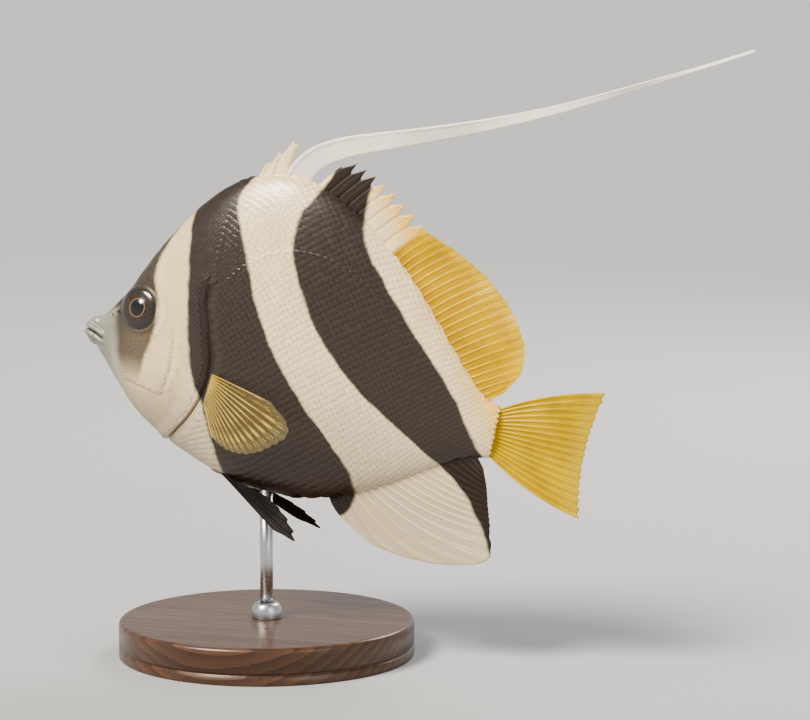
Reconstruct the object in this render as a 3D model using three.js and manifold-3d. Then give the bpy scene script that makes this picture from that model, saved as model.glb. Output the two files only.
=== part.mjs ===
// Schooling bannerfish, life size, in a gentle climb on a plain rod stand.
//
// Fish frame, in millimetres: x runs from the snout tip back to the tail, z is up and y = 0 is the
// mid-plane, so the left flank faces -y. The origin is the snout tip, on the line from the mouth to the
// middle of the tail stalk. Places and lengths of the fish are shares of its standard length.
// The part's own frame has its origin at the middle of the stand's underside, on the floor.

import * as THREE from "three";
import { mergeVertices } from "three/addons/utils/BufferGeometryUtils.js";
import Module from "manifold-3d";

const wasm = await Module();
wasm.setup();

// Driving sizes, in millimetres and degrees.
const standardLength = 132; // snout tip to the base of the tail fin
const jointGap = 0.3; // kept between touching pieces
const nosePitch = 12; // the nose points up by this much
const bellyHeight = 50; // floor to the belly, where the rod meets it

// The outline of the body in the mid-plane: [x, z] as shares of the standard length.
const backLine = [
  [0, 0.013], [0.045, 0.059], [0.09, 0.131], [0.13, 0.212], [0.2, 0.321], [0.26, 0.389],
  [0.32, 0.431], [0.38, 0.452], [0.45, 0.455], [0.54, 0.431], [0.63, 0.381], [0.73, 0.303],
  [0.82, 0.215], [0.9, 0.13], [0.96, 0.077], [1, 0.063],
];
const bellyLine = [
  [0, -0.015], [0.05, -0.063], [0.1, -0.115], [0.16, -0.166], [0.24, -0.208], [0.33, -0.24],
  [0.42, -0.262], [0.5, -0.266], [0.58, -0.258], [0.66, -0.236], [0.75, -0.192], [0.84, -0.134],
  [0.92, -0.082], [0.965, -0.062], [1, -0.057],
];
// Half the body's thickness: [x, half width].
const girthLine = [
  [0, 0.014], [0.03, 0.024], [0.07, 0.035], [0.12, 0.05], [0.17, 0.061], [0.27, 0.08],
  [0.36, 0.088], [0.45, 0.087], [0.55, 0.079], [0.65, 0.066], [0.75, 0.05], [0.85, 0.034],
  [0.94, 0.022], [1, 0.017],
];
const widestShare = 0.48; // height of the widest level between belly and back
const ridgeSharpness = { snout: 0.85, trunk: 1.2 }; // power of the cosine: over 1 draws the back to a ridge

const gillLine = [
  [-0.3, 0.17], [-0.235, 0.215], [-0.185, 0.258], [-0.13, 0.298], [-0.07, 0.325], [0, 0.334],
  [0.07, 0.318], [0.14, 0.297], [0.25, 0.293], [0.4, 0.3], [0.5, 0.31],
]; // [z, x] of the gill cover's hind edge, carried up to the nape and down to the throat
const stalkStart = 0.93; // where the tail stalk leaves the torso
const bodyStations = 44;
const bodyRows = 17; // from belly to back on one flank

const eye = { x: 0.132, z: 0.08, radius: 0.0585, depth: 0.0243, proud: 0.0082, turn: 15, lift: 9 };
const nostrils = [
  { x: 0.059, z: 0.0475, radius: 0.0034 },
  { x: 0.0725, z: 0.057, radius: 0.0042 },
];
const mouth = {
  cornerX: 0.042, cornerZ: -0.012, cornerY: 0.021, // hind end of the gape
  upperZ: 0.0082, lowerZ: -0.0112, lipRadius: 0.0086, slit: 0.4, // slit in millimetres
};

// Fin sizes are half thicknesses in millimetres.
const membraneHalf = 0.26;
const softRay = { root: 0.62, tip: 0.28 };
const spineRay = { root: 0.95, tip: 0.3 };
const rootSink = 0.012; // how deep a root starts inside the body before it is cut clear

const stand = {
  baseRadius: 45, baseHeight: 11, chamfer: 1.6, rodRadius: 2, collarRadius: 4.6, collarHeight: 5,
  rodX: 0.5, rodSink: 3, rodSocket: 4,
};

const finishes = {
  skin: { color: 0xe6dac6, roughness: 0.42, metalness: 0 },
  blackFin: { color: 0x2b211c, roughness: 0.5, metalness: 0 },
  whiteFin: { color: 0xe9e0cf, roughness: 0.45, metalness: 0 },
  yellowFin: { color: 0xd2a423, roughness: 0.45, metalness: 0 },
  eye: { color: 0x120e0c, roughness: 0.12, metalness: 0 },
  wood: { color: 0x3a2719, roughness: 0.45, metalness: 0 },
  steel: { color: 0xb8b9bb, roughness: 0.3, metalness: 1 },
};

// A smooth curve y(x) through points, with tangents from the neighbouring points.
function smooth(points) {
  const slopes = points.map((p, i) => {
    const a = points[Math.max(0, i - 1)];
    const b = points[Math.min(points.length - 1, i + 1)];
    return (b[1] - a[1]) / (b[0] - a[0]);
  });
  return (x) => {
    let i = 0;
    while (i < points.length - 2 && x > points[i + 1][0]) i++;
    const [x0, y0] = points[i];
    const [x1, y1] = points[i + 1];
    const span = x1 - x0;
    const t = Math.min(1, Math.max(0, (x - x0) / span));
    return (
      y0 * (2 * t ** 3 - 3 * t ** 2 + 1) +
      slopes[i] * span * (t ** 3 - 2 * t ** 2 + t) +
      y1 * (3 * t ** 2 - 2 * t ** 3) +
      slopes[i + 1] * span * (t ** 3 - t ** 2)
    );
  };
}

const backZ = smooth(backLine);
const bellyZ = smooth(bellyLine);
const girth = smooth(girthLine);
const gillX = smooth(gillLine);
const mix = (a, b, t) => a + (b - a) * t;
const radians = THREE.MathUtils.degToRad;

// A point of the flank at station x (a share) and angle turn from -90 (belly) to 90 (back), in millimetres.
// side is -1 for the left flank; grow moves the surface out.
function flankPoint(x, turn, side, grow = 0) {
  const top = backZ(x) * standardLength + grow;
  const bottom = bellyZ(x) * standardLength - grow;
  const widest = mix(bottom, top, widestShare);
  const up = Math.sin(turn);
  const z = widest + up * (up > 0 ? top - widest : widest - bottom);
  const power = mix(ridgeSharpness.snout, ridgeSharpness.trunk, Math.min(1, x / 0.35));
  const y = side * (girth(x) * standardLength + grow) * Math.cos(turn) ** power;
  return new THREE.Vector3(x * standardLength, y, z);
}

// The flank point at station x and height z, both shares, found by halving.
function flankAt(x, z, side, grow = 0) {
  let low = -Math.PI / 2;
  let high = Math.PI / 2;
  for (let i = 0; i < 40; i++) {
    const middle = (low + high) / 2;
    if (flankPoint(x, middle, side, grow).z < z * standardLength) low = middle;
    else high = middle;
  }
  return flankPoint(x, (low + high) / 2, side, grow);
}

// The outward direction of the flank there.
function flankNormal(x, z, side) {
  const step = 0.004;
  const along = flankAt(x + step, z, side).sub(flankAt(x - step, z, side));
  const upward = flankAt(x, z + step, side).sub(flankAt(x, z - step, side));
  return along.cross(upward).normalize();
}

// A closed solid from a list of points and triangles.
function solidOf(points, triangles) {
  const position = new Float32Array(points.flatMap((p) => [p.x, p.y, p.z]));
  const geometry = new THREE.BufferGeometry();
  geometry.setAttribute("position", new THREE.BufferAttribute(position, 3));
  geometry.setIndex(triangles);
  return solidFrom(geometry);
}

// The same, turned right side out where its triangles face inwards.
function outward(points, triangles) {
  const made = solidOf(points, triangles);
  if (made.volume() > 0) return made;
  return solidOf(points, triangles.map((_, i) => triangles[i - (i % 3) + (2 - (i % 3))]));
}

function solidFrom(source) {
  const plain = source.clone();
  for (const name of Object.keys(plain.attributes)) if (name !== "position") plain.deleteAttribute(name);
  const merged = mergeVertices(plain, 1e-4);
  return new wasm.Manifold(
    new wasm.Mesh({
      numProp: 3,
      vertProperties: new Float32Array(merged.attributes.position.array),
      triVerts: new Uint32Array(merged.index.array),
    }),
  );
}

// The largest closed surface of a solid.
function largest(solid) {
  return solid.decompose().sort((a, b) => b.volume() - a.volume())[0];
}

function meshOf(name, solid, finish) {
  const data = largest(solid).getMesh();
  const geometry = new THREE.BufferGeometry();
  geometry.setAttribute("position", new THREE.BufferAttribute(data.vertProperties, 3));
  geometry.setIndex(new THREE.BufferAttribute(data.triVerts, 1));
  geometry.computeVertexNormals();
  const mesh = new THREE.Mesh(geometry, new THREE.MeshStandardMaterial(finishes[finish]));
  mesh.name = name;
  return mesh;
}

// The whole body as one closed loft from the lips to the base of the tail fin.
function bodySolid(grow = 0) {
  const ring = [];
  for (let k = 0; k <= bodyRows; k++) ring.push([-Math.PI / 2 + (Math.PI * k) / bodyRows, -1]);
  for (let k = bodyRows - 1; k > 0; k--) ring.push([-Math.PI / 2 + (Math.PI * k) / bodyRows, 1]);
  const points = [];
  const triangles = [];
  const count = ring.length;
  for (let i = 0; i <= bodyStations; i++) {
    const share = i / bodyStations;
    const x = mix(share, share ** 1.5, 0.75); // closer together on the head
    for (const [turn, side] of ring) points.push(flankPoint(x, turn, side, grow));
  }
  for (let i = 0; i < bodyStations; i++) {
    for (let k = 0; k < count; k++) {
      const a = i * count + k;
      const b = i * count + ((k + 1) % count);
      triangles.push(a, b + count, b, a, a + count, b + count);
    }
  }
  const last = bodyStations * count;
  const noseTip = points.length;
  points.push(new THREE.Vector3(-0.002 * standardLength - grow, 0, 0));
  const tailEnd = points.length;
  points.push(new THREE.Vector3(standardLength + grow, 0, 0.003 * standardLength));
  for (let k = 0; k < count; k++) {
    const next = (k + 1) % count;
    triangles.push(noseTip, k, next, tailEnd, last + next, last + k);
  }
  return solidOf(points, triangles);
}

// A sheet of thickness jointGap that crosses the whole body along x(z), for parting it.
function partingSheet(lineX) {
  const steps = 26;
  const reach = 0.55;
  const shape = new THREE.Shape();
  const edge = (i, offset) => {
    const z = mix(-reach, reach, i / steps);
    return [lineX(z) * standardLength + offset, z * standardLength];
  };
  shape.moveTo(...edge(0, -jointGap / 2));
  for (let i = 1; i <= steps; i++) shape.lineTo(...edge(i, -jointGap / 2));
  for (let i = steps; i >= 0; i--) shape.lineTo(...edge(i, jointGap / 2));
  const depth = 0.4 * standardLength;
  const sheet = new THREE.ExtrudeGeometry(shape, { depth, bevelEnabled: false });
  sheet.rotateX(Math.PI / 2).translate(0, depth / 2, 0);
  return solidFrom(sheet);
}

// A tube through points, closed at both ends, with radius(t) for t from 0 to 1 along it.
function tubeSolid(corners, radius, steps, sides) {
  const path = new THREE.CatmullRomCurve3(corners);
  const { normals, binormals } = path.computeFrenetFrames(steps);
  const points = [];
  const triangles = [];
  for (let i = 0; i <= steps; i++) {
    const r = radius(i / steps);
    for (let k = 0; k < sides; k++) {
      const turn = (2 * Math.PI * k) / sides;
      const at = path.getPointAt(i / steps).addScaledVector(normals[i], r * Math.cos(turn));
      points.push(at.addScaledVector(binormals[i], r * Math.sin(turn)));
    }
  }
  const ends = [points.length, points.length + 1];
  points.push(path.getPointAt(0), path.getPointAt(1));
  for (let k = 0; k < sides; k++) {
    const next = (k + 1) % sides;
    triangles.push(ends[0], next, k, ends[1], steps * sides + k, steps * sides + next);
    for (let i = 0; i < steps; i++) {
      const [a, b] = [i * sides + k, i * sides + next];
      triangles.push(a, b, b + sides, a, b + sides, a + sides);
    }
  }
  return outward(points, triangles);
}

// A fish's eye is a flattened ball, its outer face just proud of the cheek.
function eyeSolid(side, grow = 0) {
  const ball = new THREE.SphereGeometry(1, 24, 14);
  ball.rotateX(Math.PI / 2);
  const r = eye.radius * standardLength + grow;
  ball.scale(r, eye.depth * standardLength + grow, r);
  ball.rotateX(radians(eye.lift) * side);
  ball.rotateZ(radians(eye.turn) * side);
  const rim = flankAt(eye.x, eye.z, side);
  const inward = (eye.depth - eye.proud) * standardLength;
  ball.translate(rim.x, rim.y - side * inward, rim.z);
  return solidFrom(ball);
}

// Lips: one roll above the gape and one below, round the snout tip and thinner towards the corners.
function lipSolid(level) {
  const s = standardLength;
  const cornerZ = mix(mouth.cornerZ, level, 0.35) * s;
  const half = [
    [mouth.cornerX + 0.006, mouth.cornerY * 0.86, cornerZ],
    [mouth.cornerX * 0.62, mouth.cornerY * 0.9, mix(cornerZ, level * s, 0.5)],
    [mouth.cornerX * 0.2, mouth.cornerY * 0.62, level * s],
  ];
  const left = half.map(([x, y, z]) => new THREE.Vector3(x * s, -y * s, z));
  const right = half.map(([x, y, z]) => new THREE.Vector3(x * s, y * s, z)).reverse();
  const tip = new THREE.Vector3(-0.001 * s, 0, level * s * 1.02);
  const radius = (t) => mouth.lipRadius * s * mix(0.4, 1, Math.sin(Math.PI * t) ** 0.6);
  return tubeSolid([...left, tip, ...right], radius, 16, 8);
}

// The line of the mouth: a thin wedge cut back from the snout tip to the corners.
function mouthSlit() {
  const s = standardLength;
  const middleZ = ((mouth.upperZ + mouth.lowerZ) / 2) * s;
  const shape = new THREE.Shape();
  shape.moveTo(-0.03 * s, middleZ + mouth.slit);
  shape.lineTo(mouth.cornerX * s, mouth.cornerZ * s * 0.6 + middleZ * 0.4);
  shape.lineTo(-0.03 * s, middleZ - mouth.slit);
  const depth = 0.2 * s;
  const wedge = new THREE.ExtrudeGeometry(shape, { depth, bevelEnabled: false });
  wedge.rotateX(Math.PI / 2).translate(0, depth / 2, 0);
  return solidFrom(wedge);
}

// A nostril: a low rim with a pit in it.
function nostrilSolids({ x, z, radius }, side) {
  const at = flankAt(x, z, side);
  const out = flankNormal(x, z, side);
  const turn = new THREE.Quaternion().setFromUnitVectors(new THREE.Vector3(0, 1, 0), out);
  const r = radius * standardLength;
  const place = (geometry, shift) =>
    solidFrom(geometry.applyQuaternion(turn).translate(...at.clone().addScaledVector(out, shift).toArray()));
  return {
    rim: place(new THREE.CylinderGeometry(r * 1.35, r * 1.9, 1.5, 10), -0.4),
    pit: place(new THREE.CylinderGeometry(r * 0.9, r * 0.6, 1.6, 10), 0.2),
  };
}

// A thin solid about the sheet point(u, v), u across the rays and v from root to tip.
// columns is the list of u; half(u, v) is its half thickness. Both faces are split alike.
function sheetSolid(columns, rows, point, half) {
  const grid = columns.map((u) => Array.from({ length: rows + 1 }, (_, r) => point(u, r / rows)));
  const points = [];
  const triangles = [];
  const last = columns.length - 1;
  const at = (c, r) => grid[Math.min(last, Math.max(0, c))][Math.min(rows, Math.max(0, r))];
  for (const side of [1, -1]) {
    for (let c = 0; c <= last; c++) {
      for (let r = 0; r <= rows; r++) {
        const across = at(c + 1, r).clone().sub(at(c - 1, r));
        const along = at(c, r + 1).clone().sub(at(c, r - 1));
        const normal = across.cross(along).normalize();
        points.push(at(c, r).clone().addScaledVector(normal, side * half(columns[c], r / rows)));
      }
    }
  }
  const id = (face, c, r) => face * columns.length * (rows + 1) + c * (rows + 1) + r;
  for (let c = 0; c < last; c++) {
    for (let r = 0; r < rows; r++) {
      const [a, b, d, e] = [id(0, c, r), id(0, c + 1, r), id(0, c + 1, r + 1), id(0, c, r + 1)];
      const back = id(1, 0, 0);
      triangles.push(a, b, d, a, d, e);
      triangles.push(a + back, d + back, b + back, a + back, e + back, d + back);
    }
  }
  const border = [];
  for (let c = 0; c < last; c++) border.push([c, 0]);
  for (let r = 0; r < rows; r++) border.push([last, r]);
  for (let c = last; c > 0; c--) border.push([c, rows]);
  for (let r = rows; r > 0; r--) border.push([0, r]);
  border.forEach(([c, r], i) => {
    const [nc, nr] = border[(i + 1) % border.length];
    const [a, b] = [id(0, c, r), id(0, nc, nr)];
    const [e, d] = [id(1, c, r), id(1, nc, nr)];
    triangles.push(a, e, d, a, d, b);
  });
  return outward(points, triangles);
}

// A fin of rays joined by a membrane. ray(k, v) is ray k's centreline, radius(k, v) its half thickness.
// Between two rays the membrane stops short of their tips by the share notch. before(v) and after(v) are
// the edges of the membrane that runs on past the first and the last ray.
function finSolid({ rays, rows, ray, radius, notch, before, after }) {
  const columns = Array.from({ length: 2 * rays - 1 }, (_, i) => i / 2);
  if (before) columns.unshift(-0.5);
  if (after) columns.push(rays - 0.5);
  const point = (u, v) => {
    if (u < 0) return before(v);
    if (u > rays - 1) return after(v);
    const k = Math.floor(u);
    if (u === k) return ray(k, v);
    const reach = v * (1 - notch);
    return ray(k, reach).clone().add(ray(k + 1, reach)).multiplyScalar(0.5);
  };
  const half = (u, v) => (u === Math.floor(u) ? radius(u, v) : membraneHalf);
  return sheetSolid(columns, rows, point, half);
}

// Ray thickness from root to tip.
const taper = ({ root, tip }) => (k, v) => mix(root, tip, v ** 0.7);

// Rays in the mid-plane: root(t) and tip(t) give [x, z] in shares for t from 0 to 1 along the fin, bow
// bends each ray by that share of its length, and sway carries the tips to one side.
function fan({ rays, root, tip, bow = () => 0, sway = () => 0 }) {
  return (k, v) => {
    const t = k / (rays - 1);
    const [rx, rz] = root(t);
    const [tx, tz] = tip(t);
    const [dx, dz] = [tx - rx, tz - rz];
    const bend = bow(t) * 4 * v * (1 - v);
    const x = rx + dx * v - dz * bend;
    const z = rz + dz * v + dx * bend;
    return new THREE.Vector3(x, sway(t) * v * v, z).multiplyScalar(standardLength);
  };
}

// Roots along the back or the belly, sunk a little into the flesh.
const backRoot = (from, to) => (t) => [mix(from, to, t), backZ(mix(from, to, t)) - rootSink];
const bellyRoot = (from, to) => (t) => [mix(from, to, t), bellyZ(mix(from, to, t)) + rootSink];
// A tip line through points [t, x, z].
function tipLine(points) {
  const tipX = smooth(points.map(([t, x]) => [t, x]));
  const tipZ = smooth(points.map(([t, , z]) => [t, z]));
  return (t) => [tipX(t), tipZ(t)];
}

// The banner: the fourth dorsal spine drawn out into a long tapering ribbon, with a membrane behind it.
const bannerPath = [
  [0.397, 0.43], [0.416, 0.485], [0.452, 0.528], [0.512, 0.563], [0.6, 0.595], [0.72, 0.636],
  [0.85, 0.685], [0.98, 0.741], [1.1, 0.801], [1.21, 0.858], [1.3, 0.905], [1.385, 0.952],
];
const banner = { width: 0.06, endWidth: 0.006, drift: 0.05, steps: 32, spine: [0.85, 0.3], membrane: [0.34, 0.25] };
const bannerCurve = new THREE.CatmullRomCurve3(
  bannerPath.map(([x, z]) => new THREE.Vector3(x, 0, z).multiplyScalar(standardLength)),
  false,
  "centripetal",
);

// The ribbon at v along its spine and u across it; aside pushes it that many millimetres further across.
function bannerPoint(u, v, aside = 0) {
  const width = mix(banner.endWidth, banner.width, (1 - v) ** 1.7) * standardLength;
  const way = bannerCurve.getTangentAt(v);
  const behind = new THREE.Vector3(way.z, 0, -way.x);
  const drift = banner.drift * standardLength * Math.sin(Math.PI * v) * v;
  const at = bannerCurve.getPointAt(v).addScaledVector(behind, u * width + aside);
  return at.add(new THREE.Vector3(0, drift, 0));
}

function bannerSolid() {
  const half = (u, v) => mix(...(u < 0.3 ? banner.spine : banner.membrane), v ** 0.6);
  return sheetSolid([0, 0.22, 0.6, 1], banner.steps, bannerPoint, half);
}

// The room round the banner that the membranes beside it keep clear of.
function bannerRoom() {
  const point = (u, v) => bannerPoint(u, v, u === 0 ? -jointGap : jointGap);
  return sheetSolid([0, 1], banner.steps, point, () => 2);
}

// Dorsal spines 1 to 3, each taller than the last, and spines 5 to 12.
const frontSpines = {
  rays: 3,
  root: backRoot(0.334, 0.382),
  tip: tipLine([[0, 0.352, 0.472], [0.5, 0.376, 0.502], [1, 0.404, 0.537]]),
  bow: () => 0.03,
};
const hindSpines = {
  rays: 8,
  root: backRoot(0.49, 0.668),
  tip: tipLine([[0, 0.56, 0.516], [0.35, 0.622, 0.494], [0.7, 0.688, 0.456], [1, 0.744, 0.416]]),
  bow: () => 0.03,
};
const softRays = {
  rays: 24,
  root: backRoot(0.684, 0.962),
  tip: tipLine([
    [0, 0.754, 0.407], [0.25, 0.862, 0.36], [0.5, 0.956, 0.3], [0.72, 1.022, 0.226],
    [0.88, 1.038, 0.157], [1, 1.012, 0.106],
  ]),
  bow: (t) => 0.05 * (1 - t),
  sway: (t) => 0.02 * Math.sin(5 * t) * Math.min(1, 6 * t),
};

function frontSpineFin() {
  const ray = fan(frontSpines);
  const after = (v) => bannerPoint(0.4, 0.08 * v);
  return finSolid({ rays: frontSpines.rays, rows: 5, ray, radius: taper(spineRay), notch: 0.3, after });
}

function hindSpineFin() {
  const ray = fan(hindSpines);
  const before = (v) => bannerPoint(0.4, 0.015 + 0.1 * v);
  return finSolid({ rays: hindSpines.rays, rows: 5, ray, radius: taper(spineRay), notch: 0.24, before });
}

function softDorsalFin() {
  const ray = fan(softRays);
  const lastSpine = fan(hindSpines);
  const aside = new THREE.Vector3(jointGap, 0, jointGap * 0.5);
  const before = (v) => lastSpine(hindSpines.rays - 1, v * 0.96).add(aside);
  return finSolid({ rays: softRays.rays, rows: 4, ray, radius: taper(softRay), notch: 0.03, before });
}

// Three strong spines, then soft rays: the front ones sweep back to a point.
function analFin() {
  const spines = 3;
  const rays = 20;
  const ray = fan({
    rays,
    root: bellyRoot(0.65, 0.962),
    tip: tipLine([
      [0, 0.702, -0.284], [0.055, 0.768, -0.318], [0.11, 0.852, -0.33], [0.17, 0.95, -0.322],
      [0.24, 1.042, -0.29], [0.36, 1.036, -0.226], [0.6, 1.02, -0.166], [0.82, 1.008, -0.118],
      [1, 0.996, -0.085],
    ]),
    bow: (t) => -0.1 * (1 - t),
    sway: (t) => 0.012 * Math.sin(4 * t),
  });
  const soft = taper(softRay);
  const hard = taper(spineRay);
  const radius = (k, v) => (k < spines ? hard(k, v) : soft(k, v));
  return finSolid({ rays, rows: 5, ray, radius, notch: 0.04 });
}

function tailFin() {
  const rays = 17;
  const ray = fan({
    rays,
    root: (t) => [0.99, mix(0.05, -0.045, t)],
    tip: tipLine([[0, 1.225, 0.146], [0.2, 1.214, 0.084], [0.5, 1.208, 0.002], [0.8, 1.214, -0.08], [1, 1.225, -0.14]]),
    bow: (t) => 0.05 * (1 - 2 * t),
    sway: () => 0.022,
  });
  return finSolid({ rays, rows: 4, ray, radius: taper(softRay), notch: 0.02 });
}

// A fan that stands out from the flank. The rays start along the line of roots, and turn from the
// first ray's direction to the last one's.
function sideFin({ side, rays, rows, rootFrom, rootTo, first, last, lengths, thickness, notch, droop }) {
  const reach = smooth(lengths);
  const ray = (k, v) => {
    const t = k / (rays - 1);
    const root = flankAt(mix(rootFrom[0], rootTo[0], t), mix(rootFrom[1], rootTo[1], t), side);
    const way = new THREE.Vector3(...first.map((a, i) => mix(a, last[i], t))).normalize();
    way.y *= side;
    const long = reach(t) * standardLength;
    const sunk = root.addScaledVector(way, -rootSink * standardLength);
    const bend = new THREE.Vector3(0, side * droop[0], droop[1]).multiplyScalar(long * v * v);
    return sunk.addScaledVector(way, long * v).add(bend);
  };
  return finSolid({ rays, rows, ray, radius: taper(thickness), notch });
}

function pectoralFin(side) {
  return sideFin({
    side, rays: 15, rows: 4, thickness: softRay, notch: 0.03,
    rootFrom: [0.352, -0.018], rootTo: [0.338, -0.092],
    first: [0.92, 0.38, -0.06], last: [0.52, 0.34, -0.78],
    lengths: [[0, 0.2], [0.13, 0.268], [0.32, 0.248], [0.65, 0.18], [1, 0.09]],
    droop: [-0.06, -0.03],
  });
}

function pelvicFin(side) {
  return sideFin({
    side, rays: 6, rows: 5, thickness: { root: 0.85, tip: 0.3 }, notch: 0.05,
    rootFrom: [0.392, -0.2475], rootTo: [0.415, -0.2585],
    first: [0.84, 0.36, -0.42], last: [0.95, 0.24, -0.16],
    lengths: [[0, 0.225], [0.2, 0.27], [0.5, 0.225], [1, 0.12]],
    droop: [-0.05, 0.02],
  });
}

// The fish group: its pieces in the fish frame, pitched and lifted on to the rod.
const fish = new THREE.Group();
const pitch = radians(nosePitch);
const rodFoot = new THREE.Vector3(stand.rodX, 0, bellyZ(stand.rodX)).multiplyScalar(standardLength);
const turned = rodFoot.clone().applyAxisAngle(new THREE.Vector3(0, 1, 0), pitch);
fish.rotation.y = pitch;
fish.position.set(-turned.x, 0, bellyHeight - turned.z);
fish.updateMatrixWorld(true);

function buildBody() {
  let body = bodySolid().add(lipSolid(mouth.upperZ)).add(lipSolid(mouth.lowerZ)).subtract(mouthSlit());
  for (const side of [-1, 1]) {
    for (const nostril of nostrils) {
      const { rim, pit } = nostrilSolids(nostril, side);
      body = body.add(rim).subtract(pit);
    }
    body = body.subtract(eyeSolid(side, jointGap));
  }
  const parted = body.subtract(partingSheet(gillX)).subtract(partingSheet(() => stalkStart));
  const pieces = parted.decompose().filter((p) => p.volume() > 1);
  pieces.sort((a, b) => a.boundingBox().min[0] - b.boundingBox().min[0]);
  const [head, torso, stalk] = pieces;
  fish.add(meshOf("head", head, "skin"), meshOf("torso", torso, "skin"), meshOf("tail_stalk", stalk, "skin"));
}

function buildFins(clear) {
  const cut = (solid) => solid.subtract(clear);
  const room = bannerRoom();
  fish.add(meshOf("dorsal_fin_front_spines", cut(frontSpineFin()).subtract(room), "whiteFin"));
  fish.add(meshOf("dorsal_fin_banner", cut(bannerSolid()), "whiteFin"));
  fish.add(meshOf("dorsal_fin_hind_spines", cut(hindSpineFin()).subtract(room), "blackFin"));
  fish.add(meshOf("dorsal_fin_soft", cut(softDorsalFin()), "yellowFin"));
  fish.add(meshOf("anal_fin", cut(analFin()), "whiteFin"));
  fish.add(meshOf("tail_fin", cut(tailFin()), "yellowFin"));
  for (const [name, side] of [["left", -1], ["right", 1]]) {
    fish.add(meshOf(`pectoral_fin_${name}`, cut(pectoralFin(side)), "yellowFin"));
    fish.add(meshOf(`pelvic_fin_${name}`, cut(pelvicFin(side)), "blackFin"));
    fish.add(meshOf(`eye_${name}`, eyeSolid(side), "eye"));
  }
}

function lathed(profile, segments) {
  return new THREE.LatheGeometry(profile.map(([r, z]) => new THREE.Vector2(r, z)), segments).rotateX(Math.PI / 2);
}

// A wooden disc, a steel rod let into it, and a collar round the rod's foot.
function buildStand(part, clear) {
  const { baseRadius, baseHeight, chamfer, rodRadius, collarRadius, collarHeight, rodSocket, rodSink } = stand;
  const disc = solidFrom(
    lathed(
      [[0, 0], [baseRadius, 0], [baseRadius, baseHeight - chamfer], [baseRadius - chamfer, baseHeight], [0, baseHeight]],
      56,
    ),
  );
  const socket = solidFrom(
    lathed(
      [[0, baseHeight - rodSocket], [rodRadius + jointGap, baseHeight - rodSocket],
       [rodRadius + jointGap, baseHeight + 1], [0, baseHeight + 1]],
      24,
    ),
  );
  const rod = solidFrom(
    lathed(
      [[0, baseHeight - rodSocket + jointGap], [rodRadius, baseHeight - rodSocket + jointGap],
       [rodRadius, bellyHeight + rodSink], [0, bellyHeight + rodSink]],
      24,
    ),
  );
  const collar = solidFrom(
    lathed(
      [[rodRadius + jointGap, baseHeight + jointGap], [collarRadius, baseHeight + jointGap],
       [collarRadius, baseHeight + collarHeight * 0.6], [collarRadius * 0.75, baseHeight + collarHeight],
       [rodRadius + jointGap, baseHeight + collarHeight], [rodRadius + jointGap, baseHeight + jointGap]],
      24,
    ),
  );
  const posedClear = clear.transform(fish.matrixWorld.elements);
  part.add(meshOf("stand_base", disc.subtract(socket), "wood"));
  part.add(meshOf("stand_rod", rod.subtract(posedClear), "steel"));
  part.add(meshOf("stand_collar", collar, "steel"));
}

const clearBody = bodySolid(jointGap);
const part = new THREE.Group();
part.add(fish);
buildBody();
buildFins(clearBody);
buildStand(part, clearBody);

export default part;
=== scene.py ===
import math

import bmesh
import bpy
import numpy as np
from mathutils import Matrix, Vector


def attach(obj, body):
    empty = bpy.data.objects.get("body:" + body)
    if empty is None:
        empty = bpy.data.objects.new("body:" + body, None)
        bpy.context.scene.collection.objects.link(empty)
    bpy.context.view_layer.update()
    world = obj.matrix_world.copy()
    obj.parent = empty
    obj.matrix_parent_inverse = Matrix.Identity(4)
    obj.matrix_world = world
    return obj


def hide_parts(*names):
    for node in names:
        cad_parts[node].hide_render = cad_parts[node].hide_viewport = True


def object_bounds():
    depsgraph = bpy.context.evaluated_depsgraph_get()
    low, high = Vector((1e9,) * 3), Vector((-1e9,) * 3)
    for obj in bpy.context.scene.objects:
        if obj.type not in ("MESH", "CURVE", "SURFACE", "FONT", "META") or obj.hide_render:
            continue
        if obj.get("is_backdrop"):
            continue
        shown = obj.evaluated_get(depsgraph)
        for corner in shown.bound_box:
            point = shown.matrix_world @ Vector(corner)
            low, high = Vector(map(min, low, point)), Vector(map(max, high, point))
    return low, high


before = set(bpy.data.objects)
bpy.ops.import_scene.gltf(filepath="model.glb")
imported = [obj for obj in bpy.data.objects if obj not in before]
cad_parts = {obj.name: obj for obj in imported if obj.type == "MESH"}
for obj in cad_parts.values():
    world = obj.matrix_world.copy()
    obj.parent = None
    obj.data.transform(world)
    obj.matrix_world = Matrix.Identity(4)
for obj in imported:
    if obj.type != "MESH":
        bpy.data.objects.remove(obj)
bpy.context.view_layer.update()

print("frame loaded:", len(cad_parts), "nodes")

# The fish's own frame: x from the snout back, z up, left flank towards -y. Its lengths are shares of
# its standard length, as on the solids, or mm, which toPart() carries to the part's frame.
fish = {
    "length": 132.0,      # snout to the root of the tail fin, mm
    "pitch": 12.0,        # nose up, degrees
    "bellyHeight": 50.0,  # floor to belly at the rod, mm
    "rodAt": 0.5,
}
size = fish["length"]
flanks = ((-1, "left"), (1, "right"))

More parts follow.
